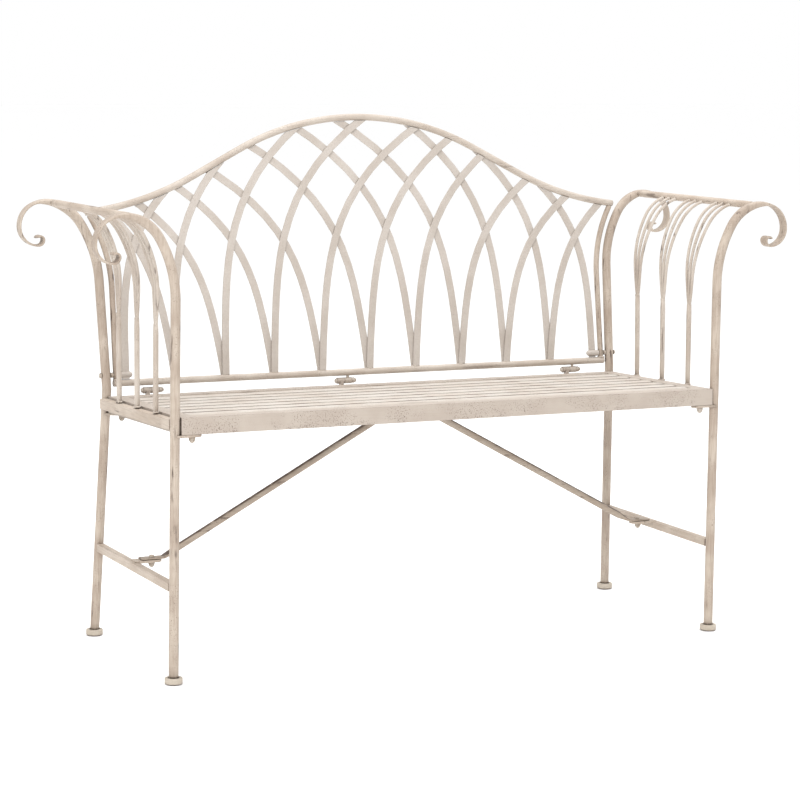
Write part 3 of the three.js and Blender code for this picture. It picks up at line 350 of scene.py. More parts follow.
@dataclass(frozen=True)
class AgedPaint:
    """Brushed antique paint on steel.

    The eye sees a warm pinkish cream, cloudy where the sponge laid it on unevenly, with fine brush
    streaks along the member, pinhead specks of the brown coat under it, and longer rubs where hands and
    cloths went through it. The brown coat also shows along the members' edges. Where members meet, its colour
    is laid on as wear and as painted shade in the narrow gaps, and on upright flanks as painted shade.
    """

    name: str
    grain: Grain
    light: str = "B8AEA3"
    body: str = "ACA094"
    shade: str = "98897B"
    under: str = "45342A"
    cloud_mm: float = 70.0  # size of the sponge's patches
    streak_mm: float = 2.6  # width of a brush streak
    speck_mm: float = 1.5  # pinheads, drawn as coarse as they need to be to show
    speck_share: float = 0.38  # below this value of the noise a speck shows
    streaks: float = 0.3  # how strongly the brush streaks show
    rub: float = 0.30  # how much of the under coat shows in the long rubs
    crevice: float = 0.75  # how much the under coat's brown darkens the places where two members meet: wear there, and painted shade in narrow gaps
    crevice_mm: float = 9.0
    edge: float = 0.0  # how much of it shows along sharp edges
    edge_mm: float = 1.2
    flank_shade: float = 0.0  # how much painted shade, in the under coat's brown, darkens the upright flanks
    crest: float = 0.0  # how much of it shows on narrow upper edges
    roughness: float = 0.56

    def build(self) -> bpy.types.Material:
        """Makes the material: the pattern on Object coordinates, and one Principled shader.

        Returns:
            The material.
        """
        material = bpy.data.materials.new(self.name)
        material.use_nodes = True
        tree = material.node_tree
        tree.nodes.clear()
        place = add_node(tree, "ShaderNodeTexCoord", {}).outputs["Object"]
        stretched = add_node(
            tree, "ShaderNodeMapping", {"Vector": place, "Scale": self.grain.value}, vector_type="POINT"
        ).outputs["Vector"]
        cloud = self.noise(tree, place, self.cloud_mm, 3.0)
        streak = self.noise(tree, stretched, self.streak_mm, 4.0)
        speck = self.noise(tree, place, self.speck_mm, 2.0)
        patch = self.noise(tree, place, self.cloud_mm * 0.55, 2.0, shift=3.7)
        long_rub = self.noise(tree, stretched, self.streak_mm * 3.0, 5.0, shift=8.1)

        body = self.mix(tree, self.ramp(tree, cloud, 0.38, 0.62), linear(self.body), linear(self.light))
        streaked = self.mix(tree, self.ramp(tree, streak, 0.42, 0.66, self.streaks), body, linear(self.shade))
        speck_mask = self.ramp(tree, speck, self.speck_share, self.speck_share - 0.05, 0.75)
        patch_mask = self.ramp(tree, patch, 0.44, 0.60)
        specks = self.multiply(tree, speck_mask, patch_mask)
        rubbed = self.ramp(tree, long_rub, 0.61, 0.66, self.rub)
        rub_mask = self.multiply(tree, rubbed, self.ramp(tree, patch, 0.40, 0.62))
        # Painted shade, with wear: ambient occlusion darkens corners and narrow gaps towards the under coat's
        # brown.
        corner = add_node(
            tree, "ShaderNodeAmbientOcclusion", {"Distance": self.crevice_mm * MM}, samples=8
        ).outputs["AO"]
        sheltered = self.ramp(tree, corner, 0.72, 0.22, self.crevice)
        crevice_wear_and_shade = self.multiply(tree, sheltered, self.ramp(tree, streak, 0.22, 0.5))
        coloured = self.mix(tree, specks, streaked, linear(self.under))
        coloured = self.mix(tree, rub_mask, coloured, linear(self.under))
        coloured = self.mix(tree, crevice_wear_and_shade, coloured, linear(self.under))
        upward = self.upward(tree)
        # Painted shade: upright faces are darkened towards the under coat's brown, broken up by the streaks.
        if self.flank_shade > 0.0:
            upright = self.ramp(tree, upward, 0.6, 0.3, self.flank_shade)
            painted_flank_shade = self.multiply(tree, upright, self.ramp(tree, streak, 0.2, 0.5))
            coloured = self.mix(tree, painted_flank_shade, coloured, linear(self.under))
        if self.crest > 0.0:
            rising = self.ramp(tree, upward, 0.45, 0.7, self.crest)
            sloping = self.multiply(tree, rising, self.ramp(tree, upward, 0.97, 0.9))
            worn = self.multiply(tree, sloping, self.ramp(tree, long_rub, 0.3, 0.5))
            coloured = self.mix(tree, worn, coloured, linear(self.under))
        if self.edge > 0.0:
            coloured = self.mix(tree, self.edge_wear(tree, streak), coloured, linear(self.under))

        rough = add_node(
            tree,
            "ShaderNodeMapRange",
            {"Value": streak, "To Min": self.roughness - 0.08, "To Max": self.roughness + 0.10},
        ).outputs["Result"]
        relief = add_node(tree, "ShaderNodeMath", {0: streak, 1: speck_mask}, operation="SUBTRACT").outputs[0]
        bump = add_node(
            tree, "ShaderNodeBump", {"Height": relief, "Strength": 0.35, "Distance": 0.25 * MM}
        ).outputs["Normal"]
        shader = add_node(
            tree, "ShaderNodeBsdfPrincipled", {"Base Color": coloured, "Roughness": rough, "Normal": bump}
        )
        add_node(tree, "ShaderNodeOutputMaterial", {"Surface": shader.outputs["BSDF"]})
        return material

    def noise(
        self,
        tree: bpy.types.NodeTree,
        place: bpy.types.NodeSocket,
        size_mm: float,
        detail: float,
        shift: float = 0.0,
    ) -> bpy.types.NodeSocket:
        """A noise whose features are about size_mm across; shift moves it, so that two noises don't agree.

        Args:
            tree: the node tree.
            place: the coordinates.
            size_mm: the size of its features.
            detail: how many finer layers it holds.
            shift: how far it is moved.

        Returns:
            Its factor.
        """
        moved = add_node(tree, "ShaderNodeMapping", {"Vector": place, "Location": (shift, shift, -shift)})
        scale = 1.0 / (size_mm * MM)
        noise = add_node(
            tree, "ShaderNodeTexNoise", {"Vector": moved.outputs["Vector"], "Scale": scale, "Detail": detail}
        )
        return noise.outputs["Fac"]

    def upward(self, tree: bpy.types.NodeTree) -> bpy.types.NodeSocket:
        """How far the surface looks up: 1 for a level top, 0 for an upright face."""
        normal = add_node(tree, "ShaderNodeNewGeometry", {}).outputs["Normal"]
        return add_node(tree, "ShaderNodeSeparateXYZ", {"Vector": normal}).outputs["Z"]

    def edge_wear(self, tree: bpy.types.NodeTree, streak: bpy.types.NodeSocket) -> bpy.types.NodeSocket:
        """Where the normal turns within the edge's width, broken up by the brush streaks.

        Args:
            tree: the node tree.
            streak: the streaks' noise.

        Returns:
            The mask.
        """
        rounded = add_node(tree, "ShaderNodeBevel", {"Radius": self.edge_mm * MM}, samples=4)
        plain = add_node(tree, "ShaderNodeNewGeometry", {})
        normals = {0: rounded.outputs["Normal"], 1: plain.outputs["Normal"]}
        likeness = add_node(tree, "ShaderNodeVectorMath", normals, operation="DOT_PRODUCT").outputs["Value"]
        return self.multiply(
            tree, self.ramp(tree, likeness, 0.985, 0.86, self.edge), self.ramp(tree, streak, 0.36, 0.56)
        )

    def ramp(
        self,
        tree: bpy.types.NodeTree,
        value: bpy.types.NodeSocket,
        start: float,
        end: float,
        height: float = 1.0,
    ) -> bpy.types.NodeSocket:
        """A value's smooth rise from 0 at start to height at end.

        Args:
            tree: the node tree.
            value: the value.
            start: where it starts to rise.
            end: where it reaches the height.
            height: the most that comes out.

        Returns:
            The ramp's output.
        """
        return add_node(
            tree,
            "ShaderNodeMapRange",
            {"Value": value, "From Min": start, "From Max": end, "To Min": 0.0, "To Max": height},
            interpolation_type="SMOOTHSTEP",
        ).outputs["Result"]

    def multiply(
        self, tree: bpy.types.NodeTree, first: bpy.types.NodeSocket, second: bpy.types.NodeSocket
    ) -> bpy.types.NodeSocket:
        """The product of two masks."""
        return add_node(tree, "ShaderNodeMath", {0: first, 1: second}, operation="MULTIPLY").outputs[0]

    def mix(
        self, tree: bpy.types.NodeTree, factor: object, first: object, second: object
    ) -> bpy.types.NodeSocket:
        """The colour that lies between two colours or colour sockets, at the factor."""
        return add_node(
            tree, "ShaderNodeMix", {0: factor, 6: first, 7: second}, data_type="RGBA", clamp_factor=True
        ).outputs[2]


@dataclass(frozen=True)
class BenchFinishes:
    """The paints of the bench, one for each kind of member and the direction in which it was brushed."""

    # Posts and side rails: the most handled members, with sharp brown rubs and a warmer, darker cream.
    upright: AgedPaint = AgedPaint(
        "antique_cream_paint_upright",
        Grain.UPRIGHT,
        light="B2A597",
        body="A09183",
        shade="867566",
        streaks=0.35,
        rub=0.85,
        crevice=0.9,
        crevice_mm=12.0,
    )
    # The back's top and bottom rails: the plain finish.
    lengthwise: AgedPaint = AgedPaint("antique_cream_paint_lengthwise", Grain.LENGTHWISE)
    # Arm rails, side bars and stretchers: brushed from front to rear.
    crosswise: AgedPaint = AgedPaint(
        "antique_cream_paint_crosswise",
        Grain.CROSSWISE,
        light="B8AB9D",
        body="AA9B8C",
        shade="8E7E70",
        rub=0.6,
    )
    # Spindles: rubbed through in long rubs, and darkened with brown where the three rods part, partly as wear
    # and partly as painted shade.
    spindles: AgedPaint = AgedPaint(
        "rubbed_cream_paint_on_spindles", Grain.UPRIGHT, rub=0.7, crevice=0.95
    )
    # The lattice: the cleanest and greyest cream, with thin dark outlines and painted shade where the strips
    # cross.
    lattice: AgedPaint = AgedPaint(
        "plain_cream_paint_on_lattice",
        Grain.MIXED,
        light="B6AEA6",
        body="AEA59C",
        shade="A1958A",
        rub=0.0,
        speck_share=0.31,
        crevice=0.55,
        edge=0.35,
        edge_mm=0.8,
    )
    # The seat's angle iron: an even tone under patches of fine brown speckle.
    frame_iron: AgedPaint = AgedPaint(
        "speckled_cream_paint_on_angle_iron",
        Grain.LENGTHWISE,
        light="ACA196",
        body="A69A8F",
        shade="9B8D80",
        speck_mm=1.7,
        speck_share=0.41,
        streaks=0.12,
        rub=0.0,
        edge=0.5,
    )
    # The slats: the lightest tops, with painted shade in the under coat's brown on their upright flanks and
    # in the gaps, which reads as dark lines between them.
    slats: AgedPaint = AgedPaint(
        "antique_cream_paint_on_slats",
        Grain.LENGTHWISE,
        light="BDB6AE",
        body="B6ACA2",
        shade="A5998C",
        crevice=0.9,
        crevice_mm=12.0,
        flank_shade=0.62,
    )
    # The braces: a dull tan, with a brown line along the upper edge.
    brace: AgedPaint = AgedPaint(
        "rubbed_cream_paint_on_braces",
        Grain.LENGTHWISE,
        light="A79A8C",
        body="9D8E7F",
        shade="807261",
        rub=0.8,
        edge=0.5,
        edge_mm=2.0,
        crest=0.9,
    )
    # Nuts, bolts and hinge pins: small parts with brown wear and painted shade in every corner, and a little
    # more shine.
    fittings: AgedPaint = AgedPaint(
        "cream_paint_on_nuts_and_bolts",
        Grain.MIXED,
        body="A39687",
        shade="887866",
        cloud_mm=14.0,
        speck_mm=1.2,
        speck_share=0.42,
        rub=0.6,
        crevice=0.95,
        crevice_mm=5.0,
        edge=0.6,
        roughness=0.48,
    )
    # The feet: moulded plastic, more matt than the paint and hardly rubbed.
    feet: AgedPaint = AgedPaint(
        "cream_moulded_plastic_feet",
        Grain.MIXED,
        light="B9AFA2",
        body="AFA495",
        shade="9D9180",
        rub=0.1,
        speck_share=0.33,
        crevice=0.9,
        roughness=0.66,
    )


# ------------------------------------------------------------------------------
# Sub-assemblies
# ------------------------------------------------------------------------------


@dataclass
class BenchFrame:
    """The sizes that the sub-assemblies share, in millimetres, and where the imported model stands."""

    post_spacing: float = 1006.0
    side_depth: float = 350.0
    seat_height: float = 430.0
    seat_drop: float = 12.0
    lean_degrees: float = 8.3
    gap: float = 0.3
    front_y: float = 0.0

    def __post_init__(self) -> None:
        """Reads the front posts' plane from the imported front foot."""
        low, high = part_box("foot_cap_front_right")
        self.front_y = (low.y + high.y) / 2.0 / MM

    @property
    def post_x(self) -> float:
        """The distance from the middle to the front posts' axes."""
        return self.post_spacing / 2.0

    @property
    def seat_slope(self) -> float:
        """The seat's slope down to the rear, in radians."""
        return math.atan2(self.seat_drop, self.side_depth)

    def in_plane(self, x: np.ndarray, y: np.ndarray, z: np.ndarray, turn: float, depth: float) -> np.ndarray:
        """Places points of a plane that is hinged at seat height and leans back.

        Args:
            x: distances from the middle.
            y: distances behind the plane.
            z: heights above the seat, along the plane.
            turn: how far the plane leans back, in radians.
            depth: how far behind the front posts it is hinged.

        Returns:
            The points, with X, Y and Z on the last axis.
        """
        x, y, z = np.broadcast_arrays(*(np.asarray(v, float) for v in (x, y, z)))
        behind = y * math.cos(turn) + z * math.sin(turn) + depth + self.front_y
        above = -y * math.sin(turn) + z * math.cos(turn) + self.seat_height
        return np.stack([x, behind, above], axis=-1)

    def back(self, x: np.ndarray, z: np.ndarray) -> np.ndarray:
        """Points of the back's plane, x from the middle and z up the back from seat height."""
        return self.in_plane(x, 0.0, z, math.radians(self.lean_degrees), self.side_depth)

    def side(self, x: np.ndarray, z: np.ndarray, end: End) -> np.ndarray:
        """Points of the front posts' upright plane or of the back's plane, at x and z above the seat."""
        return self.back(x, z) if end is End.REAR else self.in_plane(x, 0.0, z, 0.0, 0.0)

    def seat(self, x: float, y: float, z: float) -> tuple:
        """A point of the sloping seat: y behind the front posts' axes and z above its top."""
        return tuple(self.in_plane(x, 0.0, 0.0, 0.0, 0.0) + self.seat_offset(y, z))

    def seat_offset(self, y: float, z: float) -> np.ndarray:
        """How far a point of the sloping seat lies from its front edge, as X, Y and Z."""
        slope = self.seat_slope
        behind = y * math.cos(slope) + z * math.sin(slope)
        above = -y * math.sin(slope) + z * math.cos(slope)
        return np.array([0.0, behind, above])


@dataclass
class Scroll:
    """The outline that every post follows above the seat: a straight, and a chain of ever tighter arcs."""

    straight_mm: float = 185.0
    arcs: tuple = ((200.0, 30.0), (74.0, 60.0), (44.0, 90.0), (30.0, 90.0), (10.0, 90.0), (6.0, 150.0))
    step_mm: float = 0.25

    def outline(self) -> tuple:
        """Follows the chain of arcs.

        The heading is a broken line over the length: level on the straight, and rising by each arc's turn
        over the arc's length. The place is the running sum of the heading's sine (outwards) and cosine
        (upwards).

        Returns:
            Arrays of length, outwards place, upwards place and heading in degrees.
        """
        radii, turns = np.array(self.arcs).T
        knots = np.cumsum(np.concatenate([[0.0, self.straight_mm], radii * np.radians(turns)]))
        headings = np.concatenate([[0.0, 0.0], np.cumsum(turns)])
        length = np.arange(0.0, knots[-1], self.step_mm)
        heading = np.radians(np.interp(length, knots, headings))
        between = (heading[1:] + heading[:-1]) / 2.0
        outwards = np.concatenate([[0.0], np.cumsum(np.sin(between))]) * self.step_mm
        upwards = np.concatenate([[0.0], np.cumsum(np.cos(between))]) * self.step_mm
        return length, outwards, upwards, np.degrees(heading)

    def at_bend(self, bend: float) -> tuple:
        """The outwards and upwards place at which the outline has bent by so many degrees."""
        _, outwards, upwards, heading = self.outline()
        i = int(np.searchsorted(heading, bend))
        return float(outwards[i]), float(upwards[i])


@dataclass
class Posts:
    """The four posts: a leg, a tube above the seat, a flattened scroll, and the plate under the seat."""

    bench: BenchFrame
    scroll: Scroll
    diameter: float = 16.0
    foot_height: float = 10.0
    socket_depth: float = 6.0
    socket_clearance: float = 0.8
    foot_diameter: float = 29.0
    rear_splay: float = 22.0
    rear_spread: float = 5.0
    rear_pinch: float = 8.5
    ribbon_width: float = 20.0
    ribbon_thickness: float = 3.5
    flatten_from: float = 52.0
    flatten_to: float = 118.0
    plate_width: float = 18.0
    plate_thickness: float = 4.0
    plate_beyond: float = 16.0
    bolt_inset: float = 29.0
    seat_web: float = 28.0
    turn_pace: float = 4.0  # degrees of bend
    length_pace: float = 12.0
    stations: int = 170

    def flattening(self, bend: np.ndarray) -> np.ndarray:
        """How flat the tube is: a smooth step from 0 at the first bend angle to 1 at the second."""
        share = np.clip((bend - self.flatten_from) / (self.flatten_to - self.flatten_from), 0.0, 1.0)
        return share * share * (3.0 - 2.0 * share)

    def pinch(self, upwards: np.ndarray, end: End) -> np.ndarray:
        """How far inwards a rear post stands at a height above the seat: most at the seat itself."""
        _, _, heights, _ = self.scroll.outline()
        share = np.maximum(0.0, 1.0 - np.asarray(upwards, float) / heights.max())
        return share * (self.rear_pinch if end is End.REAR else 0.0)

    def place(self, outwards: np.ndarray, upwards: np.ndarray, end: End) -> np.ndarray:
        """Points on a right-hand post: outwards from its axis and upwards from the seat."""
        return self.bench.side(self.bench.post_x + outwards - self.pinch(upwards, end), upwards, end)

    def foot(self, end: End) -> np.ndarray:
        """The place of a right-hand post's axis at floor level."""
        bench = self.bench
        if end is End.FRONT:
            return np.array([bench.post_x, bench.front_y, 0.0])
        rear_y = bench.front_y + bench.side_depth + self.rear_splay
        return np.array([bench.post_x + self.rear_spread, rear_y, 0.0])

    def post(self, end: End) -> Shell:
        """The leg and the scroll as one swept profile, which flattens from a tube to a ribbon.

        Its stations lie close together where the outline turns quickly: they are spaced evenly over the
        running sum of the bend (one unit for every 4 degrees) and the length (one for every 12 mm).

        Args:
            end: the front or the rear post.

        Returns:
            The right-hand shell.
        """
        seat = self.place(np.array(0.0), np.array(0.0), end)
        foot = self.foot(end)
        base = self.foot_height - self.socket_depth + self.bench.gap
        low = foot + (seat - foot) * base / self.bench.seat_height
        leg = straight(tuple(low), tuple(seat), 16)[:-1]
        _, outwards, upwards, bend = self.scroll.outline()
        pace = np.hypot(np.diff(bend) / self.turn_pace, self.scroll.step_mm / self.length_pace)
        passed = np.concatenate([[0.0], np.cumsum(pace)])
        wanted = np.linspace(0.0, passed[-1], self.stations)
        chosen = np.unique(np.searchsorted(passed, wanted).clip(0, len(bend) - 1))
        upper = self.place(outwards[chosen], upwards[chosen], end)
        path = np.concatenate([leg, upper])
        flat = np.concatenate([np.zeros(len(leg)), self.flattening(bend[chosen])])
        radius = self.diameter / 2.0
        through = radius + (self.ribbon_thickness / 2.0 - radius) * flat
        across = radius + (self.ribbon_width / 2.0 - radius) * flat
        return swept(path, through, across, flat, sides=32, end_round=0.8)

    def plate(self, end: End) -> Shell:
        """The plate from the post's axis to beyond the seat's bolt: a level tongue with a round end.

        Each ring is the tongue's outline, drawn in by the rounding of its edge at the bottom and the top.

        Args:
            end: the front or the rear post.

        Returns:
            The right-hand shell.
        """
        bench = self.bench
        radius = self.diameter / 2.0
        start_x = bench.post_x - (self.rear_pinch if end is End.REAR else 0.0)
        start_y = bench.side_depth if end is End.REAR else 0.0
        bolt_x = bench.post_x - self.bolt_inset
        half = self.plate_width / 2.0
        rear_face = bench.side_depth - radius - bench.gap
        bolt_y = rear_face - half if end is End.REAR else -radius + half
        direction = math.atan2(bolt_y - start_y, bolt_x - start_x)
        length = math.hypot(bolt_x - start_x, bolt_y - start_y) + self.plate_beyond - half
        arc = np.linspace(-math.pi / 2.0, math.pi / 2.0, 15)
        edge = 0.6
        levels = np.array([0.0, edge, self.plate_thickness - edge, self.plate_thickness])
        inset = np.array([edge, 0.0, 0.0, edge])[:, None]
        nose = np.concatenate([[0.0], np.cos(arc), [0.0]])
        along = np.concatenate([[0.0], length + half * np.cos(arc), [0.0]])[None, :] - inset * nose
        aside = np.concatenate([[-half], half * np.sin(arc), [half]])[None, :]
        aside = aside - inset * np.sign(aside)
        x = start_x + along * math.cos(direction) - aside * math.sin(direction)
        y = start_y + along * math.sin(direction) + aside * math.cos(direction)
        top = -self.seat_web - bench.gap
        z = np.broadcast_to((top - self.plate_thickness + levels)[:, None], x.shape)
        slope = bench.seat_slope
        behind = y * math.cos(slope) + z * math.sin(slope) + bench.front_y
        above = -y * math.sin(slope) + z * math.cos(slope) + bench.seat_height
        return grid_shell(np.stack([x, behind, above], axis=-1))

    def foot_cap(self, end: End) -> Shell:
        """The foot: a short turned cap with a rounded rim and an open socket round the post.

        Its profile goes out along the floor, up to the rim, over a quarter circle and down into the
        socket.

        Args:
            end: the front or the rear post.

        Returns:
            The right-hand shell.
        """
        outer = self.foot_diameter / 2.0
        rim = 2.0
        quarter = np.linspace(0.0, math.pi / 2.0, 7)
        top = self.foot_height
        over = [(outer - rim + rim * math.cos(a), top - rim + rim * math.sin(a)) for a in quarter]
        socket = self.diameter / 2.0 + self.socket_clearance
        floor = self.foot_height - self.socket_depth
        centre = 0.3
        lip = 0.6
        profile = [(centre, 0.0), (outer - 1.2, 0.0), (outer - 0.4, 0.4), (outer, 1.4), *over]
        profile += [(socket + lip, top), (socket, top - lip), (socket, floor), (centre, floor)]
        return turned(profile, tuple(self.foot(end)))

    def build(self, finishes: BenchFinishes) -> None:
        """Makes the four posts and their feet.

        Args:
            finishes: the bench's paints.
        """
        paint = finishes.upright.build()
        plastic = finishes.feet.build()
        for side in Side:
            for end in End:
                node = f"{end.value}_post_{side.label}"
                shells = on_side([self.post(end), self.plate(end)], side)
                make_piece(f"{node}_tube", shells, paint, (node,))
                cap = f"foot_cap_{end.value}_{side.label}"
                make_piece(f"{cap}_moulding", on_side([self.foot_cap(end)], side), plastic, (cap,))


@dataclass
class Arms:
    """The arm rails, and the spindles whose three rods fan out of a bar to meet them."""

    bench: BenchFrame
    scroll: Scroll
    posts: Posts
    rail_diameter: float = 13.0
    rail_bend: float = 76.0
    spindles: int = 3
    spindle_diameter: float = 9.0
    rod_diameter: float = 5.5
    rod_fan: float = 21.0
    fork_height: float = 140.0
    fork_overlap: float = 12.0
    rods_apart: float = 1.2
    fan_power: float = 0.72
    spindle_lean: float = 0.3
    slat_thickness: float = 3.5
    rod_stride: int = 24  # steps of the scroll's outline from one station of a rod to the next

    def rail(self) -> Shell:
        """The right-hand arm rail, from just inside the front scroll to just inside the rear one."""
        outwards, upwards = self.scroll.at_bend(self.rail_bend)
        front = self.posts.place(np.array(outwards), np.array(upwards), End.FRONT)
        rear = self.posts.place(np.array(outwards), np.array(upwards), End.REAR)
        along = unit(rear - front)
        lean = math.radians(self.bench.lean_degrees)
        flat = float(self.posts.flattening(np.array(self.rail_bend)))
        radius = self.posts.diameter / 2.0
        inset = radius + (self.posts.ribbon_width / 2.0 - radius) * flat + self.bench.gap
        rear_inset = inset / math.cos(lean) + self.rail_diameter * math.tan(lean) * 0.5
        start = tuple(front + along * inset)
        stop = tuple(rear - along * rear_inset)
        return tube(straight(start, stop, 24), self.rail_diameter / 2.0)

    def above_foot(self, outwards: np.ndarray, upwards: np.ndarray, share: float) -> np.ndarray:
        """Points of a spindle: between the front and rear planes, leaning back by a part of the back's lean.

        Args:
            outwards: distances outside the front posts' plane.
            upwards: heights above the seat.
            share: how far back the spindle stands, from 0 to 1.

        Returns:
            The points.
        """
        x = self.bench.post_x + np.asarray(outwards, float)
        front = self.bench.side(x, upwards, End.FRONT)
        rear = self.bench.side(x, upwards, End.REAR)
        point = front + (rear - front) * share
        foot_y = self.bench.front_y + share * self.bench.side_depth
        point[..., 1] = foot_y + (point[..., 1] - foot_y) * self.spindle_lean
        return point

    def rod(self, share: float, fan: int) -> np.ndarray:
        """One rod's middle line.

        It follows the scroll's outline as far as the arm rail. Its distance from the middle rod grows as
        a power of its rise above the fork.

        Args:
            share: how far back the spindle stands.
            fan: -1, 0 or 1 for the front, middle or rear rod.

        Returns:
            The stations.
        """
        _, outwards, upwards, bend = self.scroll.outline()
        rail_u, rail_w = self.scroll.at_bend(self.rail_bend)
        reach = self.rail_diameter / 2.0 + 2.0 * self.bench.gap
        away = np.hypot(outwards - rail_u, upwards - rail_w)
        keep = (bend < self.rail_bend) & (upwards > self.fork_height) & (away > reach + self.rod_diameter)
        u = np.concatenate([[0.0], outwards[keep][:: self.rod_stride]])
        w = np.concatenate([[self.fork_height - self.fork_overlap], upwards[keep][:: self.rod_stride]])
        last = np.array([u[-1], w[-1]])
        landing = np.array([rail_u, rail_w]) + unit(last - np.array([rail_u, rail_w])) * reach
        u = np.append(u, landing[0])
        w = np.append(w, landing[1])
        rise = np.clip((w - self.fork_height) / (landing[1] - self.fork_height), 0.0, 1.0)
        offset = fan * (self.rods_apart + (self.rod_fan - self.rods_apart) * rise**self.fan_power)
        points = self.above_foot(u, w, share)
        points[:, 1] += offset
        return points

    def spindle(self, index: int) -> list:
        """The bar, its three rods, and the beads of weld where they part and where they land.

        Args:
            index: the spindle's number from the front, from 0.

        Returns:
            The right-hand shells.
        """
        bench = self.bench
        share = (index + 1) / (self.spindles + 1)
        foot = np.array(bench.seat(bench.post_x, share * bench.side_depth, bench.gap - self.slat_thickness))
        foot[2] += self.spindle_diameter / 2.0 * math.tan(bench.seat_slope)
        head = self.above_foot(np.array(0.0), np.array(self.fork_height), share)
        shells = [tube(straight(tuple(foot), tuple(head), 10), self.spindle_diameter / 2.0, 20, 1.6)]
        for fan in (-1, 0, 1):
            points = self.rod(share, fan)
            shells.append(tube(points, self.rod_diameter / 2.0, 14, 0.6))
            tip = points[-1] - unit(points[-1] - points[-2]) * 1.2
            shells.append(bead(tuple(tip), (3.5, 3.6, 3.0), index * 3 + fan))
        shells.append(bead((foot[0], foot[1], foot[2] + 2.4), (6.0, 6.2, 2.6), index + 11))
        shells.append(bead((head[0], head[1], head[2] - 1.0), (4.1, 4.6, 4.0), index + 5))
        return shells

    def build(self, finishes: BenchFinishes) -> None:
        """Makes both arm rails and the spindles under them.

        Args:
            finishes: the bench's paints.
        """
        rail_paint = finishes.crosswise.build()
        bar_paint = finishes.spindles.build()
        for side in Side:
            node = f"arm_rail_{side.label}"
            make_piece(f"{node}_tube", on_side([self.rail()], side), rail_paint, (node,))
            for index in range(self.spindles):
                node = f"spindle_{side.label}_{index + 1}"
                make_piece(f"{node}_rods", on_side(self.spindle(index), side), bar_paint, (node,))


@dataclass
class BackFrame:
    """The back's tube frame: the crowned top rail and the flaring side rails."""

    bench: BenchFrame
    tube_diameter: float = 12.0
    side_tube: float = 10.0
    bottom_height: float = 9.0
    crown: float = 465.0
    crown_radius: float = 500.0
    crown_slope: float = 27.5
    shoulder_radius: float = 560.0
    shoulder_start: float = 320.0
    side_inset: float = 26.0
    side_straight: float = 170.0
    side_bend: float = 250.0
    side_sweep: float = math.asin(0.56)  # radians, more than it takes to reach the top rail
    strip_width: float = 13.0
    outermost: tuple = ("lattice_strip_right_1", "lattice_strip_left_10")  # on the side rails, without a bead

    def rail_height(self, x: np.ndarray) -> np.ndarray:
        """The top rail's height over the distance from the middle: a crown arc, a slope and a shoulder arc.

        Args:
            x: distances from the middle.

        Returns:
            The heights of its axis.
        """
        distance = np.abs(x)
        slope = math.radians(self.crown_slope)
        crown_end = self.crown_radius * math.sin(slope)
        inside = np.minimum(distance, crown_end)
        arc = self.crown - self.crown_radius + np.sqrt(self.crown_radius**2 - inside**2)
        level = self.crown - self.crown_radius + self.crown_radius * math.cos(slope)
        line = level - math.tan(slope) * (distance - crown_end)
        centre_x = self.shoulder_start + self.shoulder_radius * math.sin(slope)
        start = level - math.tan(slope) * (self.shoulder_start - crown_end)
        centre_z = start + self.shoulder_radius * math.cos(slope)
        aside = np.clip(centre_x - distance, 0.0, self.shoulder_radius * math.sin(slope))
        shoulder = centre_z - np.sqrt(self.shoulder_radius**2 - aside**2)
        return np.where(distance <= crown_end, arc, np.where(distance <= self.shoulder_start, line, shoulder))

    def rail_end(self) -> float:
        """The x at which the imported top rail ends."""
        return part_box("back_top_rail")[1].x / MM

    def top_rail(self) -> Shell:
        """The top rail: a tube along the crowned line, with square ends."""
        end = self.rail_end() - 0.6
        x = np.linspace(-end, end, 120)
        return tube(self.bench.back(x, self.rail_height(x)), self.tube_diameter / 2.0, 28, 1.2)

    def side_rail(self) -> Shell:
        """The right-hand side rail: straight up, then an arc outwards to just under the top rail."""
        x0 = self.bench.post_x - self.side_inset
        base = self.bottom_height + self.tube_diameter / 2.0 + self.bench.gap
        angle = np.linspace(0.0, self.side_sweep, 40)[1:]
        level = np.linspace(base, self.side_straight, 8)
        x = np.concatenate([np.full(8, x0), x0 + self.side_bend * (1.0 - np.cos(angle))])
        z = np.concatenate([level, self.side_straight + self.side_bend * np.sin(angle)])
        under = z < self.rail_height(x) - self.tube_diameter / 2.0 + 1.0
        return tube(self.bench.back(x[under], z[under]), self.side_tube / 2.0, 22, 0.8)

    def welds(self) -> list:
        """Beads of weld at the feet of the side rails and of the lattice's strips."""
        half = self.tube_diameter / 2.0
        shells = []
        x0 = self.bench.post_x - self.side_inset
        for sign in (-1, 1):
            foot = self.bench.back(np.array(sign * x0), np.array(self.bottom_height + half))
            shells.append(bead(tuple(foot), (6.4, 6.0, 2.4), sign + 3))
        for name in sorted(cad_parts):
            if not name.startswith("lattice_strip") or name in self.outermost:
                continue
            low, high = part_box(name)
            number = int(name.split("_")[-1])
            # A strip stands with its outer edge on one side of its box, and bends to the other.
            if "right" in name:
                x = low.x / MM + self.strip_width / 2.0
            else:
                x = high.x / MM - self.strip_width / 2.0
            foot = self.bench.back(np.array(x), np.array(self.bottom_height + half - 0.4))
            shells.append(bead(tuple(foot), (7.4, 3.8, 1.9), number))
        return shells

    def build(self, finishes: BenchFinishes) -> None:
        """Makes the top rail, the side rails and the beads of weld.

        Args:
            finishes: the bench's paints.
        """
        rail_paint = finishes.lengthwise.build()
        side_paint = finishes.upright.build()
        make_piece("back_top_rail_tube", [self.top_rail()], rail_paint, ("back_top_rail",))
        for side in Side:
            node = f"back_side_rail_{side.label}"
            make_piece(f"{node}_tube", on_side([self.side_rail()], side), side_paint, (node,))
        make_piece("back_weld_beads", self.welds(), rail_paint)


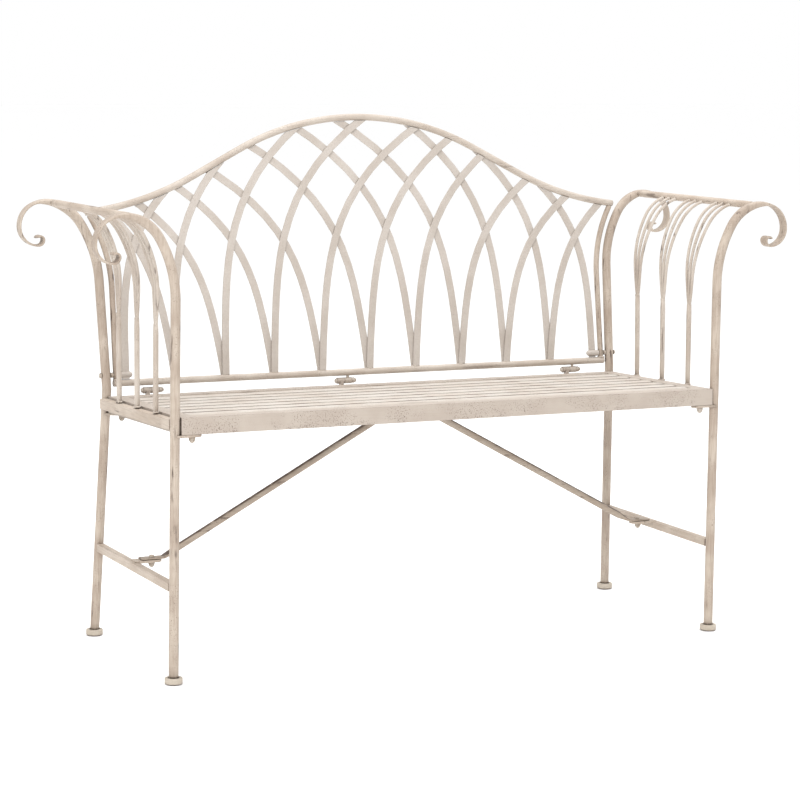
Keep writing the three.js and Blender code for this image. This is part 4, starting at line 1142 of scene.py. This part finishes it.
@dataclass
class KeptMembers:
    """The members whose CAD shape is right: flat strips, angle iron, slats, bars and fasteners.

    Each keeps its mesh. Modifiers merge its double points, join its level faces and soften its edges.
    """

    bevel_mm: float = 0.5
    fitting_bevel_mm: float = 0.25

    def rounding(self) -> bpy.types.NodeTree:
        """A small geometry group that merges double points and shades all but the sharp edges smooth.

        Returns:
            The group.
        """
        group = bpy.data.node_groups.new("merge_and_smooth", "GeometryNodeTree")
        group.interface.new_socket("Geometry", in_out="INPUT", socket_type="NodeSocketGeometry")
        group.interface.new_socket("Geometry", in_out="OUTPUT", socket_type="NodeSocketGeometry")
        source = add_node(group, "NodeGroupInput", {})
        merged = add_node(
            group, "GeometryNodeMergeByDistance", {"Geometry": source.outputs[0], "Distance": 0.01 * MM}
        )
        smooth = add_node(
            group, "GeometryNodeSetShadeSmooth", {"Geometry": merged.outputs[0], "Shade Smooth": True}
        )
        turn = add_node(group, "GeometryNodeInputMeshEdgeAngle", {}).outputs["Unsigned Angle"]
        corner = add_node(group, "FunctionNodeCompare", {0: turn, 1: SHARP_TURN}, operation="GREATER_THAN")
        crisp = add_node(
            group,
            "GeometryNodeSetShadeSmooth",
            {"Geometry": smooth.outputs[0], "Selection": corner.outputs[0], "Shade Smooth": False},
            domain="EDGE",
        )
        add_node(group, "NodeGroupOutput", {0: crisp.outputs[0]})
        return group

    def soften(self, node: bpy.types.Object, group: bpy.types.NodeTree, width_mm: float) -> None:
        """Puts the modifiers on a CAD node.

        Args:
            node: the CAD node's object.
            group: the geometry group.
            width_mm: the width of the softened edges.
        """
        merge = node.modifiers.new("merge_and_smooth", "NODES")
        merge.node_group = group
        level = node.modifiers.new("join_level_faces", "DECIMATE")
        level.decimate_type = "DISSOLVE"
        level.angle_limit = math.radians(0.6)
        edge = node.modifiers.new("soft_edges", "BEVEL")
        edge.width = width_mm * MM
        edge.segments = 2
        edge.limit_method = "ANGLE"
        edge.angle_limit = SHARP_TURN
        edge.harden_normals = True

    def build(self, finishes: BenchFinishes) -> None:
        """Dresses every CAD node that still shows.

        Args:
            finishes: the bench's paints.
        """
        group = self.rounding()
        paints = {
            "lattice_strip": finishes.lattice.build(),
            "seat_frame": finishes.frame_iron.build(),
            "slat_panel": finishes.slats.build(),
            "back_bottom_rail": finishes.lengthwise.build(),
            "side_bar": finishes.crosswise.build(),
            "stretcher": finishes.crosswise.build(),
            "brace_left": finishes.brace.build(),
            "brace_right": finishes.brace.build(),
        }
        fittings = finishes.fittings.build()
        for name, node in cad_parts.items():
            if node.hide_render:
                continue
            found = [paint for start, paint in paints.items() if name.startswith(start)]
            paint = found[0] if found else fittings
            node.data.materials.clear()
            node.data.materials.append(paint)
            self.soften(node, group, self.bevel_mm if found else self.fitting_bevel_mm)
            LOG.info("dressed %s in %s", name, paint.name)


@dataclass
class Studio:
    """The floor, the soft lights and the camera."""

    bench: BenchFrame
    azimuth: float = -25.736
    elevation: float = 5.870
    roll: float = 0.811
    lens_mm: float = 117.3
    shift_y: float = -0.125
    camera_mm: tuple = (-1959.8, -3837.1, 1042.9)  # from the middle of the front posts' axes at floor level

    def floor(self) -> None:
        """A plain pale floor, wide enough to fill every view."""
        reach = 30.0
        level = -0.001
        mesh = bpy.data.meshes.new("studio_floor")
        corners = [(x * reach, y * reach, level) for x, y in ((-1, -1), (1, -1), (1, 1), (-1, 1))]
        mesh.from_pydata(corners, [], [(0, 1, 2, 3)])
        material = bpy.data.materials.new("white_paper_floor")
        material.use_nodes = True
        shader = material.node_tree.nodes["Principled BSDF"]
        shader.inputs["Base Color"].default_value = linear("FFFFFF")
        shader.inputs["Roughness"].default_value = 0.9
        mesh.materials.append(material)
        floor = bpy.data.objects.new("studio_floor", mesh)
        bpy.context.scene.collection.objects.link(floor)

    def light(self, name: str, place: tuple, target: tuple, size: float, power: float) -> None:
        """One soft square light.

        Args:
            name: its name.
            place: where it hangs, in metres.
            target: what it faces.
            size: the length of its sides.
            power: its power in watts.
        """
        data = bpy.data.lights.new(name, "AREA")
        data.size = size
        data.energy = power
        lamp = bpy.data.objects.new(name, data)
        lamp.location = place
        lamp.rotation_euler = (Vector(target) - Vector(place)).to_track_quat("-Z", "Y").to_euler()
        bpy.context.scene.collection.objects.link(lamp)

    def camera(self) -> None:
        """The camera, turned to its azimuth and elevation, with its small roll."""
        azimuth, elevation, roll = (math.radians(v) for v in (self.azimuth, self.elevation, self.roll))
        data = bpy.data.cameras.new("view")
        data.lens = self.lens_mm
        data.sensor_width = 36.0
        data.shift_y = self.shift_y
        data.clip_end = 100.0
        camera = bpy.data.objects.new("view", data)
        level = math.cos(elevation)
        forward = Vector((-math.sin(azimuth) * level, math.cos(azimuth) * level, -math.sin(elevation)))
        turn = forward.to_track_quat("-Z", "Y").to_matrix().to_4x4()
        right = turn.col[0].to_3d()
        up = turn.col[1].to_3d()
        turned_right = right * math.cos(roll) + up * math.sin(roll)
        turned_up = up * math.cos(roll) - right * math.sin(roll)
        for row in range(3):
            turn[row][0] = turned_right[row]
            turn[row][1] = turned_up[row]
        turn.translation = Vector(self.camera_mm) * MM + Vector((0.0, self.bench.front_y * MM, 0.0))
        camera.matrix_world = turn
        bpy.context.scene.collection.objects.link(camera)
        bpy.context.scene.camera = camera

    def build(self) -> None:
        """Sets up the floor, the pale surroundings, three soft lights and the camera."""
        self.floor()
        world = bpy.data.worlds.new("pale_studio")
        world.use_nodes = True
        background = world.node_tree.nodes["Background"]
        background.inputs["Color"].default_value = (1.0, 1.0, 1.0, 1.0)
        background.inputs["Strength"].default_value = 1.0
        bpy.context.scene.world = world
        self.light("key_light", (-2.6, -3.2, 3.4), (0.0, 0.0, 0.5), 2.6, 130.0)
        self.light("top_light", (0.6, 0.4, 3.8), (0.0, 0.0, 0.4), 3.0, 90.0)
        self.light("rim_light", (3.2, 1.6, 2.4), (0.0, 0.0, 0.5), 2.0, 15.0)
        self.camera()
        bpy.context.scene.view_settings.view_transform = "Standard"
        LOG.info("set up the studio")


def main() -> None:
    """Builds the bench's looks in order."""
    logging.basicConfig(level=logging.INFO, format="%(name)s: %(message)s")
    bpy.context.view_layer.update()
    finishes = BenchFinishes()
    bench = BenchFrame()
    scroll = Scroll()
    posts = Posts(bench, scroll)
    posts.build(finishes)
    Arms(bench, scroll, posts).build(finishes)
    BackFrame(bench).build(finishes)
    KeptMembers().build(finishes)
    Studio(bench).build()


if __name__ == "__main__":
    main()
